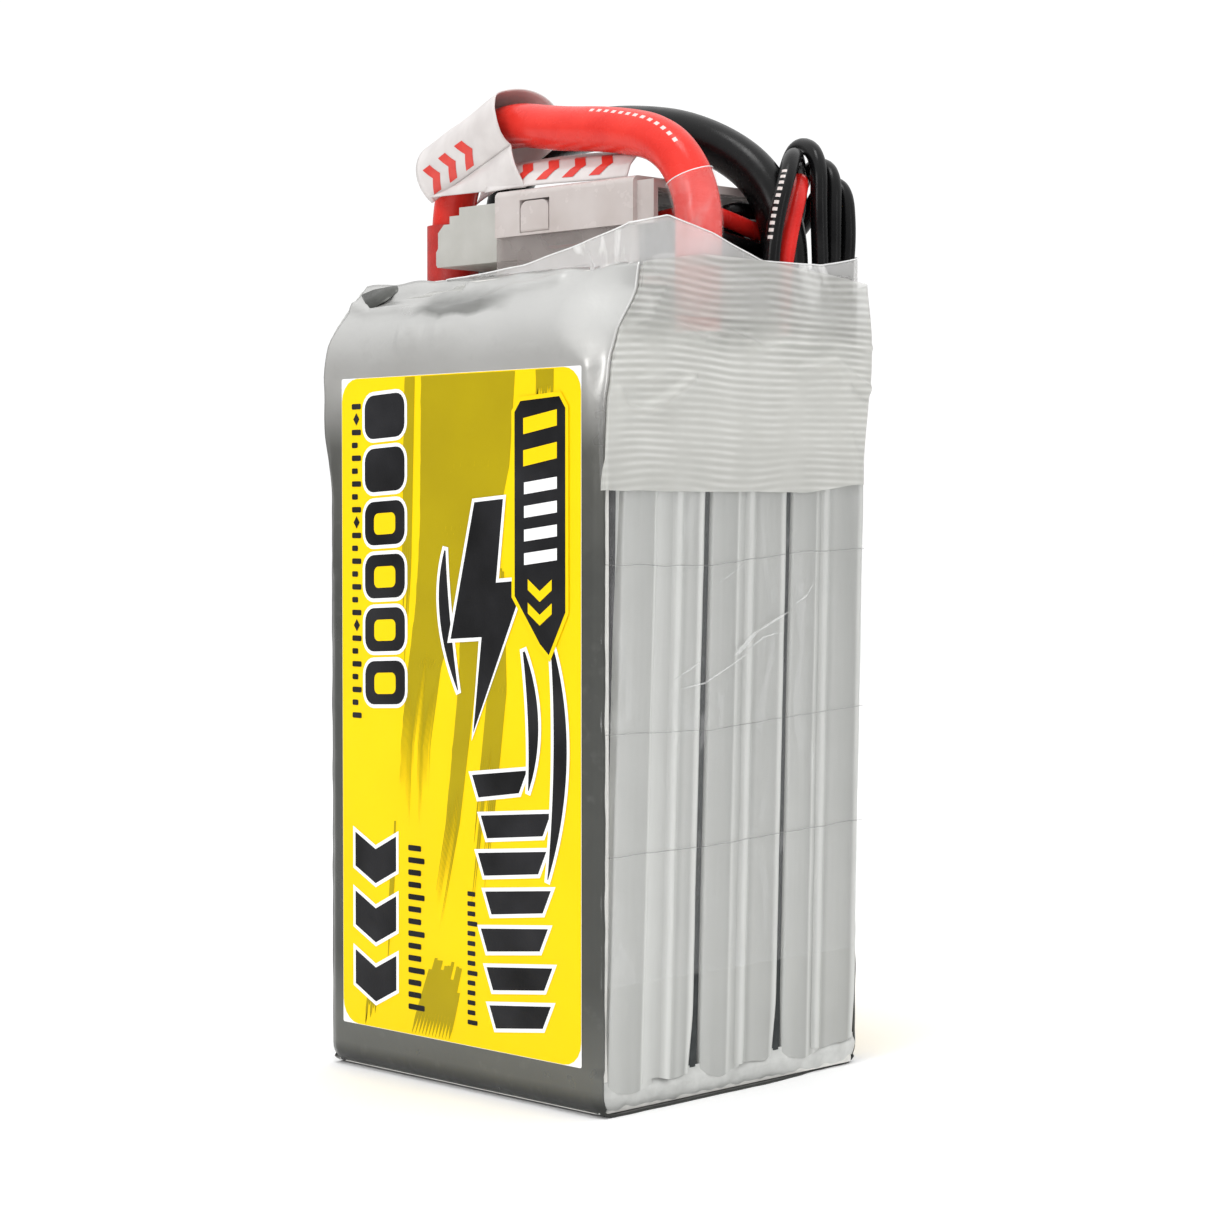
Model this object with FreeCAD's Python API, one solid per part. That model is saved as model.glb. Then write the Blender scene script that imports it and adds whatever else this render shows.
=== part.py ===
import FreeCAD, Part
import math
import os

# Six-cell soft-pack battery, standing on its lower end, leads at the top.
# Millimetres. X is the width, Y runs from the labelled front (-Y) to the back, Z is up.
# The origin is the centre of the bottom face.

V = FreeCAD.Vector

# ---- driving dimensions -------------------------------------------------------------
PACK_WIDTH = 39.0  # X, over the reinforced tape
PACK_DEPTH = 38.4  # Y, over both labels
CELL_COUNT = 6
CELL_THICK = 5.8
GLUE_THICK = 0.12
LAMINATE = 0.2  # wall of a cell's pouch
LABEL_THICK = 0.1
SHEET_THICK = 0.25  # metallised cover sheet
TAPE_THICK = 0.2  # glass-fibre reinforced tape
FILM_THICK = 0.1  # clear wrapping film
PAD_THICK = 1.0  # card pad under the cells
CUP_TOP = 67.5  # top of the cells' thick part
TERRACE_TOP = 70.3  # top of the flat seal that the tabs leave
TAPE_LOW = 57.6
SIDE_TOP = 78.2  # folded tape and cover sheet end here
BOARD_LOW = 71.0  # balance board
BOARD_THICK = 1.0
TAB_TOP = 73.0  # tabs are cut off just above the board
LEAD_START = 72.8  # top of the solder pads
INSULATOR_LOW = 77.5
INSULATOR_TOP = 78.25
LEAD_D = 4.5  # 12 AWG silicone lead
WIRE_D = 1.7  # 22 AWG silicone wire
PIN_PITCH = 2.5
PIN_HEIGHT = 83.6  # Z of the balance plug's contacts
PLUG_TIP = -20.0  # X of the balance plug's mating end
PLUG_REAR = -7.6
LEAD_PLUG_X = -24.4  # main plug hangs beside the left face
LEAD_PLUG_Y = 6.1
LEAD_PITCH = 7.4
PLUG_LOW = 64.0
PLUG_TOP = 80.0
CUP_END = 84.6  # top of the main plug's solder cups

# ---- derived positions --------------------------------------------------------------
LABEL_Y = PACK_DEPTH / 2
SHEET_Y = LABEL_Y - LABEL_THICK
TAPE_Y = SHEET_Y - SHEET_THICK
FILM_Y = TAPE_Y - TAPE_THICK
STACK_Y = FILM_Y - FILM_THICK
TAPE_X = PACK_WIDTH / 2
FILM_X = TAPE_X - TAPE_THICK
STACK_X = FILM_X - FILM_THICK
CELL_PITCH = CELL_THICK + GLUE_THICK
CELLS_DEPTH = CELL_COUNT * CELL_PITCH - GLUE_THICK
FRONT_BOARD = 2 * STACK_Y - CELLS_DEPTH
CELLS_Y = STACK_Y - CELLS_DEPTH
CELL_LOW = SHEET_THICK + PAD_THICK
FLAP_THICK = 0.6  # side seal folded flat against the cell
CUP_X = STACK_X - FLAP_THICK
PIN_COUNT = CELL_COUNT + 1
PLUG_WIDTH = 19.8
PLUG_NEAR = -3.9  # Y of the balance plug's near end
PLUG_MID = PLUG_NEAR + PLUG_WIDTH / 2
BOARD_TOP = BOARD_LOW + BOARD_THICK

# clip round the balance plug, and its latch tongue
CLIP_LEFT, CLIP_RIGHT = -10.0, 9.6
CLIP_NEAR, CLIP_FAR = -4.8, 16.8
CLIP_WALL = 0.8
CLIP_LOW, CLIP_TOP = INSULATOR_TOP, 88.3
CLIP_SPLIT = 83.6
LATCH_X = (-6.2, -2.2)
LATCH_TOP = 87.0
LATCH_GAP = 0.15
LATCH_THICK = 0.7
HINGE_Y = CLIP_NEAR + LATCH_THICK / 2
HINGE_Z = 84.2

# pull strip rolled over the red lead
TAG_FOOT = V(-24.5, 2.0, 91.6)
TAG_MOUTH = V(-10.5, -0.3, 95.8)
TAG_RADIUS = 3.9
TAG_THICK = 0.2
TAG_TAIL = (-12.8, 6.6)
TAG_TAIL_PROFILE = [(-3.6, 88.55), (-3.1, 89.75), (-1.9, 90.7), (0.6, 91.1)]

# ---- routes of the leads and wires --------------------------------------------------
RED_ROUTE = [
    (16.5, -3.0, 72.8), (16.5, -3.0, 79.2), (16.7, -3.0, 86.0), (12.4, -2.6, 91.6),
    (4.6, -2.0, 93.5), (-4.0, -1.3, 94.4), (-12.5, -0.2, 96.0), (-20.5, 1.6, 94.4),
    (-24.4, 2.4, 88.8), (-24.4, 2.4, 84.6),
]
BLACK_ROUTE = [
    (16.2, 10.2, 72.8), (16.2, 10.2, 78.4), (15.5, 10.5, 84.4), (12.0, 10.6, 90.0),
    (4.6, 9.6, 94.2), (-4.0, 9.0, 95.8), (-12.5, 8.8, 96.0), (-20.5, 9.3, 94.2),
    (-24.4, 9.8, 88.8), (-24.4, 9.8, 84.6),
]
WIRE_ROUTES = [
    [(18.3, 5.3, 72.8), (18.3, 5.3, 78.4), (18.3, 6.0, 83.6), (18.2, 7.9, 88.5),
     (16.3, 11.2, 91.5), (13.2, 15.5, 90.1), (12.6, 16.2, 85.2), (12.5, 12.4, 81.6),
     (12.3, 7.4, 82.2), (11.2, 2.6, 83.4), (7.6, -0.9, 83.6), (1.6, -1.4, 83.5),
     (-3.4, -1.5, 83.6), (-7.6, -1.5, 83.6)],
    [(18.3, 7.1, 72.8), (18.3, 7.1, 78.2), (18.3, 8.3, 83.2), (17.7, 10.3, 87.1),
     (15.6, 13.1, 89.1), (12.6, 14.3, 87.2), (12.0, 12.2, 83.3), (12.1, 7.8, 84.3),
     (11.0, 3.6, 85.5), (7.0, 1.3, 84.6), (1.4, 1.1, 83.5), (-3.4, 1.0, 83.6),
     (-7.6, 1.0, 83.6)],
    [(18.0, 16.9, 72.8), (18.0, 16.9, 78.6), (18.3, 17.2, 83.6), (17.3, 17.8, 88.6),
     (13.8, 18.2, 88.8), (12.0, 17.5, 84.4), (10.6, 14.0, 82.0), (10.4, 10.0, 82.5),
     (9.6, 6.0, 82.4), (5.6, 3.8, 83.0), (0.4, 3.4, 83.5), (-3.9, 3.5, 83.6),
     (-7.6, 3.5, 83.6)],
    [(18.0, 15.1, 72.8), (18.0, 15.1, 79.0), (18.3, 14.8, 84.8), (17.5, 15.8, 90.0),
     (13.4, 17.2, 90.9), (10.8, 17.5, 87.9), (10.5, 14.6, 84.2), (10.3, 10.2, 84.2),
     (8.6, 6.7, 84.0), (3.4, 5.9, 83.5), (-2.2, 6.0, 83.6), (-7.6, 6.0, 83.6)],
    [(18.0, 13.3, 72.8), (18.0, 13.3, 79.2), (18.3, 12.6, 85.0), (17.5, 13.6, 91.5),
     (12.9, 15.3, 93.0), (10.7, 15.8, 88.8), (10.6, 13.0, 85.9), (9.9, 9.6, 86.2),
     (5.8, 8.5, 84.6), (0.6, 8.4, 83.5), (-3.8, 8.5, 83.6), (-7.6, 8.5, 83.6)],
    [(16.0, 15.0, 72.8), (16.0, 15.0, 76.8), (14.8, 14.2, 80.2), (11.2, 12.0, 79.9),
     (7.4, 11.2, 81.4), (2.2, 10.9, 83.2), (-2.9, 11.0, 83.6), (-7.6, 11.0, 83.6)],
    [(14.1, 14.7, 72.8), (14.1, 14.7, 76.0), (13.1, 14.9, 79.3), (9.6, 14.9, 80.3),
     (6.2, 13.8, 81.2), (3.4, 14.6, 83.6), (0.2, 14.9, 85.5), (-2.8, 13.8, 84.3),
     (-4.6, 13.5, 83.6), (-7.6, 13.5, 83.6)],
]


# ---- helpers ------------------------------------------------------------------------
def box(x0, x1, y0, y1, z0, z1):
    return Part.makeBox(x1 - x0, y1 - y0, z1 - z0, V(x0, y0, z0))


def prism(points, direction):
    """A polygon's face pushed along a direction."""
    corners = [V(*p) for p in points]
    return Part.Face(Part.makePolygon(corners + corners[:1])).extrude(V(*direction))


def rounded_block(half_x, y0, y1, z0, z1, radius):
    """An upright block with its four vertical edges rounded."""
    block = box(-half_x, half_x, y0, y1, z0, z1)
    upright = [e for e in block.Edges if abs(e.tangentAt(e.FirstParameter).z) > 0.9]
    return block.makeFillet(radius, upright)


def band(half_x, half_y, wall, z0, z1, radius):
    """A closed band around the pack, with rounded corners."""
    outer = rounded_block(half_x, -half_y, half_y, z0, z1, radius)
    inner = rounded_block(half_x - wall, wall - half_y, half_y - wall, z0, z1, radius - wall)
    return outer.cut(inner)


def cylinder(radius, low, high):
    """A round bar between two points."""
    low, high = V(*low), V(*high)
    return Part.makeCylinder(radius, (high - low).Length, low, high - low)


def route_path(route):
    """Straight runs joined by tangent arcs, and the arcs' radii."""
    points = [V(*p) for p in route]
    edges, radii = [], []
    start = points[0]
    for before, corner, after in zip(points, points[1:], points[2:]):
        back, ahead = (before - corner), (after - corner)
        reach = 0.45 * min(back.Length, ahead.Length)
        half_turn = (math.pi - back.getAngle(ahead)) / 2
        radii.append(reach / math.tan(half_turn))
        back.normalize()
        ahead.normalize()
        enter = corner + back * reach
        leave = corner + ahead * reach
        inward = (back + ahead).normalize()
        depth = radii[-1] / math.cos(half_turn) - radii[-1]
        edges.append(Part.LineSegment(start, enter).toShape())
        edges.append(Part.Arc(enter, corner + inward * depth, leave).toShape())
        start = leave
    edges.append(Part.LineSegment(start, points[-1]).toShape())
    return Part.Wire(edges), radii


def tube(name, route, diameter):
    """A cord along its route, with its length, tightest radius and volume check printed."""
    path, radii = route_path(route)
    axis = V(*route[1]) - V(*route[0])
    section = Part.Wire([Part.makeCircle(diameter / 2, V(*route[0]), axis)])
    solid = path.makePipeShell([section], True, False, 2)
    expected = math.pi * diameter ** 2 / 4 * path.Length
    print(name, "length %.1f" % path.Length, "volume ratio %.4f" % (solid.Volume / expected),
          "radii", " ".join("%.1f" % r for r in radii))
    return solid


def cell_front(index):
    return CELLS_Y + index * CELL_PITCH


# ---- cells --------------------------------------------------------------------------
def cell_tab(index, side):
    """One tab of a cell, from its stack through the seal and the board's slot."""
    middle = cell_front(index) + CELL_THICK / 2
    return box(side * 9 - 3, side * 9 + 3, middle - 0.15, middle + 0.15, CUP_TOP - LAMINATE, TAB_TOP)


def positive_side(index):
    """Neighbouring cells face opposite ways, so that tabs join in series."""
    return 1 if index % 2 == 0 else -1


def pouch(index):
    """A cell's laminate envelope: cup, top seal and folded side seals."""
    y0 = cell_front(index)
    y1 = y0 + CELL_THICK
    middle = (y0 + y1) / 2
    shell = rounded_block(CUP_X, y0, y1, CELL_LOW, CUP_TOP, 1.0)
    seal = box(-17.5, 17.5, middle - 0.3, middle + 0.3, CUP_TOP - 0.1, TERRACE_TOP)
    shell = shell.fuse(seal)
    for side in (-1, 1):
        x0, x1 = sorted((side * (CUP_X - 0.3), side * STACK_X))
        shell = shell.fuse(box(x0, x1, y0 + 0.35, y1 - 0.35, 2.2, CUP_TOP - 1.0))
    cavity = rounded_block(CUP_X - LAMINATE, y0 + LAMINATE, y1 - LAMINATE,
                           CELL_LOW + LAMINATE, CUP_TOP - LAMINATE, 0.8)
    shell = shell.cut(cavity)
    for side in (-1, 1):
        shell = shell.cut(cell_tab(index, side))
    return shell.removeSplitter()


def electrode_stack(index):
    """The layered electrodes that fill a pouch."""
    gap = LAMINATE + 0.05
    y0 = cell_front(index)
    return rounded_block(CUP_X - gap, y0 + gap, y0 + CELL_THICK - gap, CELL_LOW + gap,
                         CUP_TOP - LAMINATE, 0.75)


def cell_glue():
    """Adhesive sheets between neighbouring cells."""
    sheets = []
    for index in range(CELL_COUNT - 1):
        y0 = cell_front(index) + CELL_THICK
        sheets.append(box(-17, 17, y0, y0 + GLUE_THICK, 4, 64))
    return Part.makeCompound(sheets)


# ---- boards and insulation ----------------------------------------------------------
def front_board():
    """Stiffening board behind the front face."""
    return rounded_block(CUP_X, -STACK_Y, -STACK_Y + FRONT_BOARD, CELL_LOW, CUP_TOP, 0.6)


def bottom_pad():
    """Card under the cells."""
    return rounded_block(18.6, -18.2, 18.2, SHEET_THICK, CELL_LOW, 1.0)


def balance_board():
    """Circuit board over the cells, with a slot for each tab."""
    board = box(-18.2, 19.3, -14.6, 18.0, BOARD_LOW, BOARD_TOP)
    for index in range(CELL_COUNT):
        middle = cell_front(index) + CELL_THICK / 2
        for side in (-1, 1):
            board = board.cut(box(side * 9 - 3.2, side * 9 + 3.2, middle - 0.3, middle + 0.3,
                                  BOARD_LOW, BOARD_TOP))
    return board


def solder_joints():
    """Solder over each tab, and a pad under each lead and wire."""
    joints = []
    for index in range(CELL_COUNT):
        middle = cell_front(index) + CELL_THICK / 2
        for side in (-1, 1):
            bead = box(side * 9 - 3.6, side * 9 + 3.6, middle - 0.9, middle + 0.9,
                       BOARD_TOP, BOARD_TOP + 0.7)
            bead = bead.makeFillet(0.3, bead.Edges[:4])
            joints.append(bead.cut(cell_tab(index, side)))
    for route, radius in ((RED_ROUTE, 2.4), (BLACK_ROUTE, 2.4)):
        x, y, z = route[0]
        joints.append(cylinder(radius, (x, y, BOARD_TOP), (x, y, LEAD_START)))
    for route in WIRE_ROUTES:
        x, y, z = route[0]
        joints.append(cylinder(0.7, (x, y, BOARD_TOP), (x, y, LEAD_START)))
    return Part.makeCompound(joints)


def top_foam():
    """Foam between the soldered tabs and the card over them."""
    return box(-17.0, 8.5, -13.5, 17.5, TAB_TOP, INSULATOR_LOW)


def top_insulator():
    """Card that closes the top beside the leads' well."""
    card = box(-FILM_X, 13.1, -14.1, 18.3, INSULATOR_LOW, INSULATOR_TOP)
    notch = box(9.0, 14.0, 7.5, 19.0, INSULATOR_LOW - 1, INSULATOR_TOP + 1)
    return card.cut(notch)


# ---- wraps and labels ---------------------------------------------------------------
def clear_wrap():
    """Clear film wound round the cells."""
    return band(FILM_X, FILM_Y, FILM_THICK, 12.0, 70.0, 0.35)


def fibre_tape():
    """Glass-fibre tape round the top; it ends at the front shoulder and stands up elsewhere."""
    wrap = band(TAPE_X, TAPE_Y, TAPE_THICK, TAPE_LOW, SIDE_TOP, 0.55)
    return wrap.cut(box(-25, 25, -25, -16.5, 72.4, 90))


def cover_outline(inset):
    """Front shoulder, front, bottom and back of the cover sheet, in the YZ plane."""
    y = SHEET_Y - inset
    return [(-14.5 + inset * 1.3, SIDE_TOP), (-y, 72.8), (-y, inset), (y, inset), (y, 77.6)]


def cover_sheet():
    """Metallised sheet folded from the front shoulder under the pack and up the back."""
    ring = cover_outline(0) + cover_outline(SHEET_THICK)[::-1]
    half = FILM_X
    sheet = prism([(-half, y, z) for y, z in ring], (2 * half, 0, 0))
    lower = [e for e in sheet.Edges if abs(e.tangentAt(e.FirstParameter).x) > 0.9
             and e.CenterOfMass.z < 0.01]
    return sheet.makeFillet(0.2, lower)


def label(side):
    """Printed label stuck on the front (-1) or back (+1)."""
    y0, y1 = sorted((side * SHEET_Y, side * LABEL_Y))
    return box(-17.0, 16.9, y0, y1, 4.5, 69.0)


def clear_collar():
    """Free upper edge of the clear film, standing up round the leads."""
    wall = FILM_THICK
    x0, x1, y0, y1 = -18.5, FILM_X, -14.1, 18.3
    foot, card_end, well = INSULATOR_TOP, 13.3, 76.0
    right = prism([(x1 - wall, y0, 74.0), (x1 - wall, y1, 74.0), (x1 - wall, y1, 81.4),
                   (x1 - wall, 12.0, 80.0), (x1 - wall, 3.0, 79.9), (x1 - wall, -4.0, 82.0),
                   (x1 - wall, -10.0, 83.2), (x1 - wall, y0, 82.2)], (wall, 0, 0))
    front = prism([(x0, y0, foot), (card_end, y0, foot), (card_end, y0, well), (x1, y0, well),
                   (x1, y0, 82.2), (12.0, y0, 80.6), (0.0, y0, 79.2), (x0, y0, 78.9)], (0, wall, 0))
    back = prism([(x0, y1, foot), (card_end, y1, foot), (card_end, y1, well), (x1, y1, well),
                  (x1, y1, 81.4), (8.0, y1, 80.0), (x0, y1, 79.2)], (0, -wall, 0))
    left = box(x0, x0 + wall, y0, y1, foot, 78.9)
    return right.fuse([front, back, left]).removeSplitter()


# ---- main leads and plug ------------------------------------------------------------
def lead_sleeve():
    """Clear film rolled round the foot of the red lead."""
    low = (16.5, -3.0, 78.3)
    high = (16.62, -3.0, 83.0)
    return cylinder(2.42, low, high).cut(cylinder(LEAD_D / 2, low, high))


def heat_shrink(y):
    """Shrink tube over a solder cup and the end of its lead."""
    low = (LEAD_PLUG_X, y, PLUG_TOP)
    high = (LEAD_PLUG_X, y, 86.4)
    return cylinder(2.75, low, high).cut(cylinder(LEAD_D / 2 + 0.02, low, high))


def lead_plug_y(pole):
    return LEAD_PLUG_Y + pole * LEAD_PITCH / 2


def main_plug_housing():
    """Two-pole plug body, keyed by two chamfered corners, with grip grooves."""
    half_x, half_y = 4.05, 7.95
    x, y = LEAD_PLUG_X, LEAD_PLUG_Y
    key = 2.4
    outline = [(x - half_x, y - half_y + key), (x - half_x + key, y - half_y),
               (x + half_x - key, y - half_y), (x + half_x, y - half_y + key),
               (x + half_x, y + half_y), (x - half_x, y + half_y)]
    body = prism([(px, py, PLUG_LOW) for px, py in outline], (0, 0, PLUG_TOP - PLUG_LOW))
    body = body.makeChamfer(0.4, [e for e in body.Edges if abs(e.CenterOfMass.z - PLUG_LOW) < 0.01])
    for z in (73.0, 75.0, 77.0):
        for side in (-1, 1):
            x0, x1 = sorted((x + side * (half_x - 0.35), x + side * 6))
            body = body.cut(box(x0, x1, y - 4.5, y + 5.5, z, z + 0.8))
    for pole in (-1, 1):
        py = lead_plug_y(pole)
        body = body.cut(cylinder(LEAD_D / 2, (x, py, PLUG_LOW - 1), (x, py, PLUG_TOP + 1)))
    return body


def main_plug_contacts():
    """Gold-plated sockets, each with a filled solder cup above."""
    contacts = []
    for pole in (-1, 1):
        y = lead_plug_y(pole)
        bar = cylinder(LEAD_D / 2, (LEAD_PLUG_X, y, PLUG_LOW + 0.4), (LEAD_PLUG_X, y, CUP_END))
        bore = cylinder(1.75, (LEAD_PLUG_X, y, PLUG_LOW), (LEAD_PLUG_X, y, PLUG_LOW + 10.4))
        contacts.append(bar.cut(bore))
    return Part.makeCompound(contacts)


# ---- balance plug and its clip ------------------------------------------------------
def pin_y(index):
    return PLUG_MID + (index - (PIN_COUNT - 1) / 2) * PIN_PITCH


def balance_plug_housing():
    """Seven-way plug body with stepped ribs on its upper side."""
    low, high = 81.3, 85.7
    y0, y1 = PLUG_NEAR, PLUG_NEAR + PLUG_WIDTH
    side = [(PLUG_TIP, low + 0.3), (PLUG_TIP + 0.2, low), (PLUG_REAR, low), (PLUG_REAR, high),
            (PLUG_TIP + 1.2, high), (PLUG_TIP + 0.3, high - 0.8), (PLUG_TIP + 0.3, high - 2.4),
            (PLUG_TIP, high - 2.8)]
    body = prism([(x, y0, z) for x, z in side], (0, PLUG_WIDTH, 0))
    rib_starts = [y0, y1 - 2.0] + [pin_y(i) + PIN_PITCH / 2 - 0.4 for i in range(PIN_COUNT - 1)]
    for number, start in enumerate(rib_starts):
        width = 2.0 if number < 2 else 0.8
        body = body.fuse(box(-17.9, PLUG_REAR - 1.4, start, start + width, high, high + 0.8))
        body = body.fuse(box(-16.4, PLUG_REAR - 1.4, start, start + width, high, high + 1.6))
    for index in range(PIN_COUNT):
        y = pin_y(index)
        body = body.cut(box(PLUG_TIP - 1, PLUG_REAR + 1, y - 0.7, y + 0.7,
                            PIN_HEIGHT - 0.7, PIN_HEIGHT + 0.7))
    return body.removeSplitter()


def balance_plug_contacts():
    """Crimp contacts in the plug's seven cavities."""
    contacts = []
    for index in range(PIN_COUNT):
        y = pin_y(index)
        barrel = box(-10.5, PLUG_REAR, y - 0.7, y + 0.7, PIN_HEIGHT - 0.7, PIN_HEIGHT + 0.7)
        blade = box(-18.6, -10.5, y - 0.6, y + 0.6, PIN_HEIGHT - 0.6, PIN_HEIGHT + 0.6)
        mouth = box(-19.0, -12.0, y - 0.35, y + 0.35, PIN_HEIGHT - 0.35, PIN_HEIGHT + 0.35)
        contacts.append(barrel.fuse(blade.cut(mouth)))
    return Part.makeCompound(contacts)


def clip_upper_half():
    """Upper half of the clip, with a latch window and a short hood at the rear."""
    half = box(CLIP_LEFT, CLIP_RIGHT, CLIP_NEAR, CLIP_FAR, CLIP_SPLIT, CLIP_TOP)
    edges = [e for e in half.Edges if abs(e.tangentAt(e.FirstParameter).x) > 0.9
             and e.CenterOfMass.z > CLIP_TOP - 0.1]
    half = half.makeFillet(0.7, edges)
    inside = box(CLIP_LEFT - 1, CLIP_RIGHT + 1, CLIP_NEAR + CLIP_WALL, CLIP_FAR - CLIP_WALL,
                 CLIP_SPLIT - 1, CLIP_TOP - CLIP_WALL)
    half = half.cut(inside)
    window = box(LATCH_X[0] - LATCH_GAP, LATCH_X[1] + LATCH_GAP, CLIP_NEAR - 1,
                 CLIP_NEAR + CLIP_WALL, HINGE_Z - LATCH_THICK / 2, LATCH_TOP + LATCH_GAP)
    half = half.cut(window)
    hood_end, hood_top = 11.8, CLIP_TOP - 0.5
    hood = box(CLIP_RIGHT, hood_end, CLIP_NEAR + 0.6, 1.5, CLIP_SPLIT, hood_top)
    hood = hood.cut(box(CLIP_RIGHT, hood_end, CLIP_NEAR + 1.2, 1.5, CLIP_SPLIT, hood_top - 0.8))
    return half.fuse(hood).removeSplitter()


def clip_lower_half():
    """Lower half of the clip, a tray with a ledge under the plug's end."""
    inset = 0.25
    tray = box(CLIP_LEFT, CLIP_RIGHT, CLIP_NEAR + inset, CLIP_FAR - inset, CLIP_LOW, CLIP_SPLIT)
    edges = [e for e in tray.Edges if abs(e.tangentAt(e.FirstParameter).x) > 0.9
             and e.CenterOfMass.z < CLIP_LOW + 0.1]
    tray = tray.makeFillet(0.7, edges)
    inside = box(CLIP_LEFT + 2.4, CLIP_RIGHT + 1, CLIP_NEAR + CLIP_WALL, CLIP_FAR - CLIP_WALL,
                 CLIP_LOW + CLIP_WALL, CLIP_SPLIT + 1)
    seat = box(CLIP_LEFT - 1, CLIP_LEFT + 3, CLIP_NEAR + CLIP_WALL, CLIP_FAR - CLIP_WALL,
               81.3, CLIP_SPLIT + 1)
    return tray.cut(inside).cut(seat)


def clip_latch():
    """Latch tongue in the clip's near wall, rounded about its hinge line, with a hook inside."""
    x0, x1 = LATCH_X
    inner = CLIP_NEAR + LATCH_THICK
    tongue = box(x0, x1, CLIP_NEAR, inner, HINGE_Z, LATCH_TOP)
    top = [e for e in tongue.Edges if abs(e.tangentAt(e.FirstParameter).y) > 0.9
           and e.CenterOfMass.z > LATCH_TOP - 0.1]
    tongue = tongue.makeFillet(0.9, top)
    foot = cylinder(LATCH_THICK / 2, (x0, HINGE_Y, HINGE_Z), (x1, HINGE_Y, HINGE_Z))
    hook = prism([(x0 + 0.8, inner, LATCH_TOP - 1.5), (x0 + 0.8, inner + 0.35, LATCH_TOP - 0.7),
                  (x0 + 0.8, inner, LATCH_TOP - 0.7)], (2.4, 0, 0))
    return tongue.fuse([foot, hook]).removeSplitter()


# ---- pull tag -----------------------------------------------------------------------


def tag_saddle():
    """Strip rolled over the lead's bend, open underneath."""
    along = TAG_MOUTH - TAG_FOOT
    length = along.Length
    roll = cylinder(TAG_RADIUS + TAG_THICK, (0, 0, 0), (length, 0, 0))
    roll = roll.cut(cylinder(TAG_RADIUS, (0, 0, 0), (length, 0, 0)))
    roll = roll.cut(box(-1, length + 1, -2.6, 2.6, -5, 0))
    yaw = math.degrees(math.atan2(along.y, along.x))
    rise = math.degrees(math.asin(along.z / length))
    roll.Placement = FreeCAD.Placement(TAG_FOOT, FreeCAD.Rotation(yaw, -rise, 0))
    return roll


def tag_tail():
    """Free end of the strip, standing between the clip and the lead."""
    front = [(TAG_TAIL[0], y, z) for y, z in TAG_TAIL_PROFILE]
    back = [(x, y + 0.16, z - 0.14) for x, y, z in front]
    strip = prism(front + back[::-1], (TAG_TAIL[1] - TAG_TAIL[0], 0, 0))
    web = box(TAG_TAIL[0], TAG_TAIL[0] + 1.6, -2.85, -2.6, 89.95, 92.8)
    return strip.fuse(web)


def pull_tag():
    return tag_saddle().fuse(tag_tail()).removeSplitter()


def save(name, shape):
    shape.exportStep("parts/%s.step" % name)
    print(name, "solids", len(shape.Solids), "valid", shape.isValid(), "volume %.1f" % shape.Volume)


def main():
    os.makedirs("parts", exist_ok=True)
    for index in range(CELL_COUNT):
        save("pouch_cell_%d" % (index + 1), pouch(index))
        save("electrode_stack_%d" % (index + 1), electrode_stack(index))
    cells = range(CELL_COUNT)
    save("positive_tabs", Part.makeCompound([cell_tab(i, positive_side(i)) for i in cells]))
    save("negative_tabs", Part.makeCompound([cell_tab(i, -positive_side(i)) for i in cells]))
    save("cell_adhesive", cell_glue())
    save("front_board", front_board())
    save("bottom_pad", bottom_pad())
    save("balance_board", balance_board())
    save("solder_joints", solder_joints())
    save("top_foam", top_foam())
    save("top_insulator", top_insulator())
    save("clear_wrap", clear_wrap())
    save("fibre_tape", fibre_tape())
    save("cover_sheet", cover_sheet())
    save("front_label", label(-1))
    save("rear_label", label(1))
    save("clear_collar", clear_collar())
    save("red_lead", tube("red_lead", RED_ROUTE, LEAD_D))
    save("black_lead", tube("black_lead", BLACK_ROUTE, LEAD_D))
    save("red_lead_sleeve", lead_sleeve())
    save("red_heat_shrink", heat_shrink(lead_plug_y(-1)))
    save("black_heat_shrink", heat_shrink(lead_plug_y(1)))
    save("main_plug_housing", main_plug_housing())
    save("main_plug_contacts", main_plug_contacts())
    for index, route in enumerate(WIRE_ROUTES):
        name = "balance_wire_%d" % (index + 1)
        save(name, tube(name, route, WIRE_D))
    save("balance_plug_housing", balance_plug_housing())
    save("balance_plug_contacts", balance_plug_contacts())
    save("clip_upper_half", clip_upper_half())
    save("clip_lower_half", clip_lower_half())
    save("clip_latch", clip_latch())
    save("pull_tag", pull_tag())


main()
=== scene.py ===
import bpy
import math
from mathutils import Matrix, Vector, noise


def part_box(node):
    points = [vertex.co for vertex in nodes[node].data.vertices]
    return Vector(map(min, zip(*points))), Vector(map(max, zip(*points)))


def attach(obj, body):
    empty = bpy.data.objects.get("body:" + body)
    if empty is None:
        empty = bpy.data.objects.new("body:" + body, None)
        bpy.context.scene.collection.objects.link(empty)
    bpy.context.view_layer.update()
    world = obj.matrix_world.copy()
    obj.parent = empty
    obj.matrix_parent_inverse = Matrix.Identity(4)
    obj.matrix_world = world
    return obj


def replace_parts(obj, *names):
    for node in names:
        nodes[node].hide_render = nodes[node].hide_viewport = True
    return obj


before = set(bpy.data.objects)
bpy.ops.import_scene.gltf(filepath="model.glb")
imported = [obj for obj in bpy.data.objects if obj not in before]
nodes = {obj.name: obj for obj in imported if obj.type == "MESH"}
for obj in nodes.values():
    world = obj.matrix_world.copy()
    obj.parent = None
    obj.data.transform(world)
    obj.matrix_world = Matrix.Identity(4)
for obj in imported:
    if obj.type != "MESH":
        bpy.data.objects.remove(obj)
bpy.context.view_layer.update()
MM = 0.001
BODY = "pack"
scene = bpy.context.scene


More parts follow.
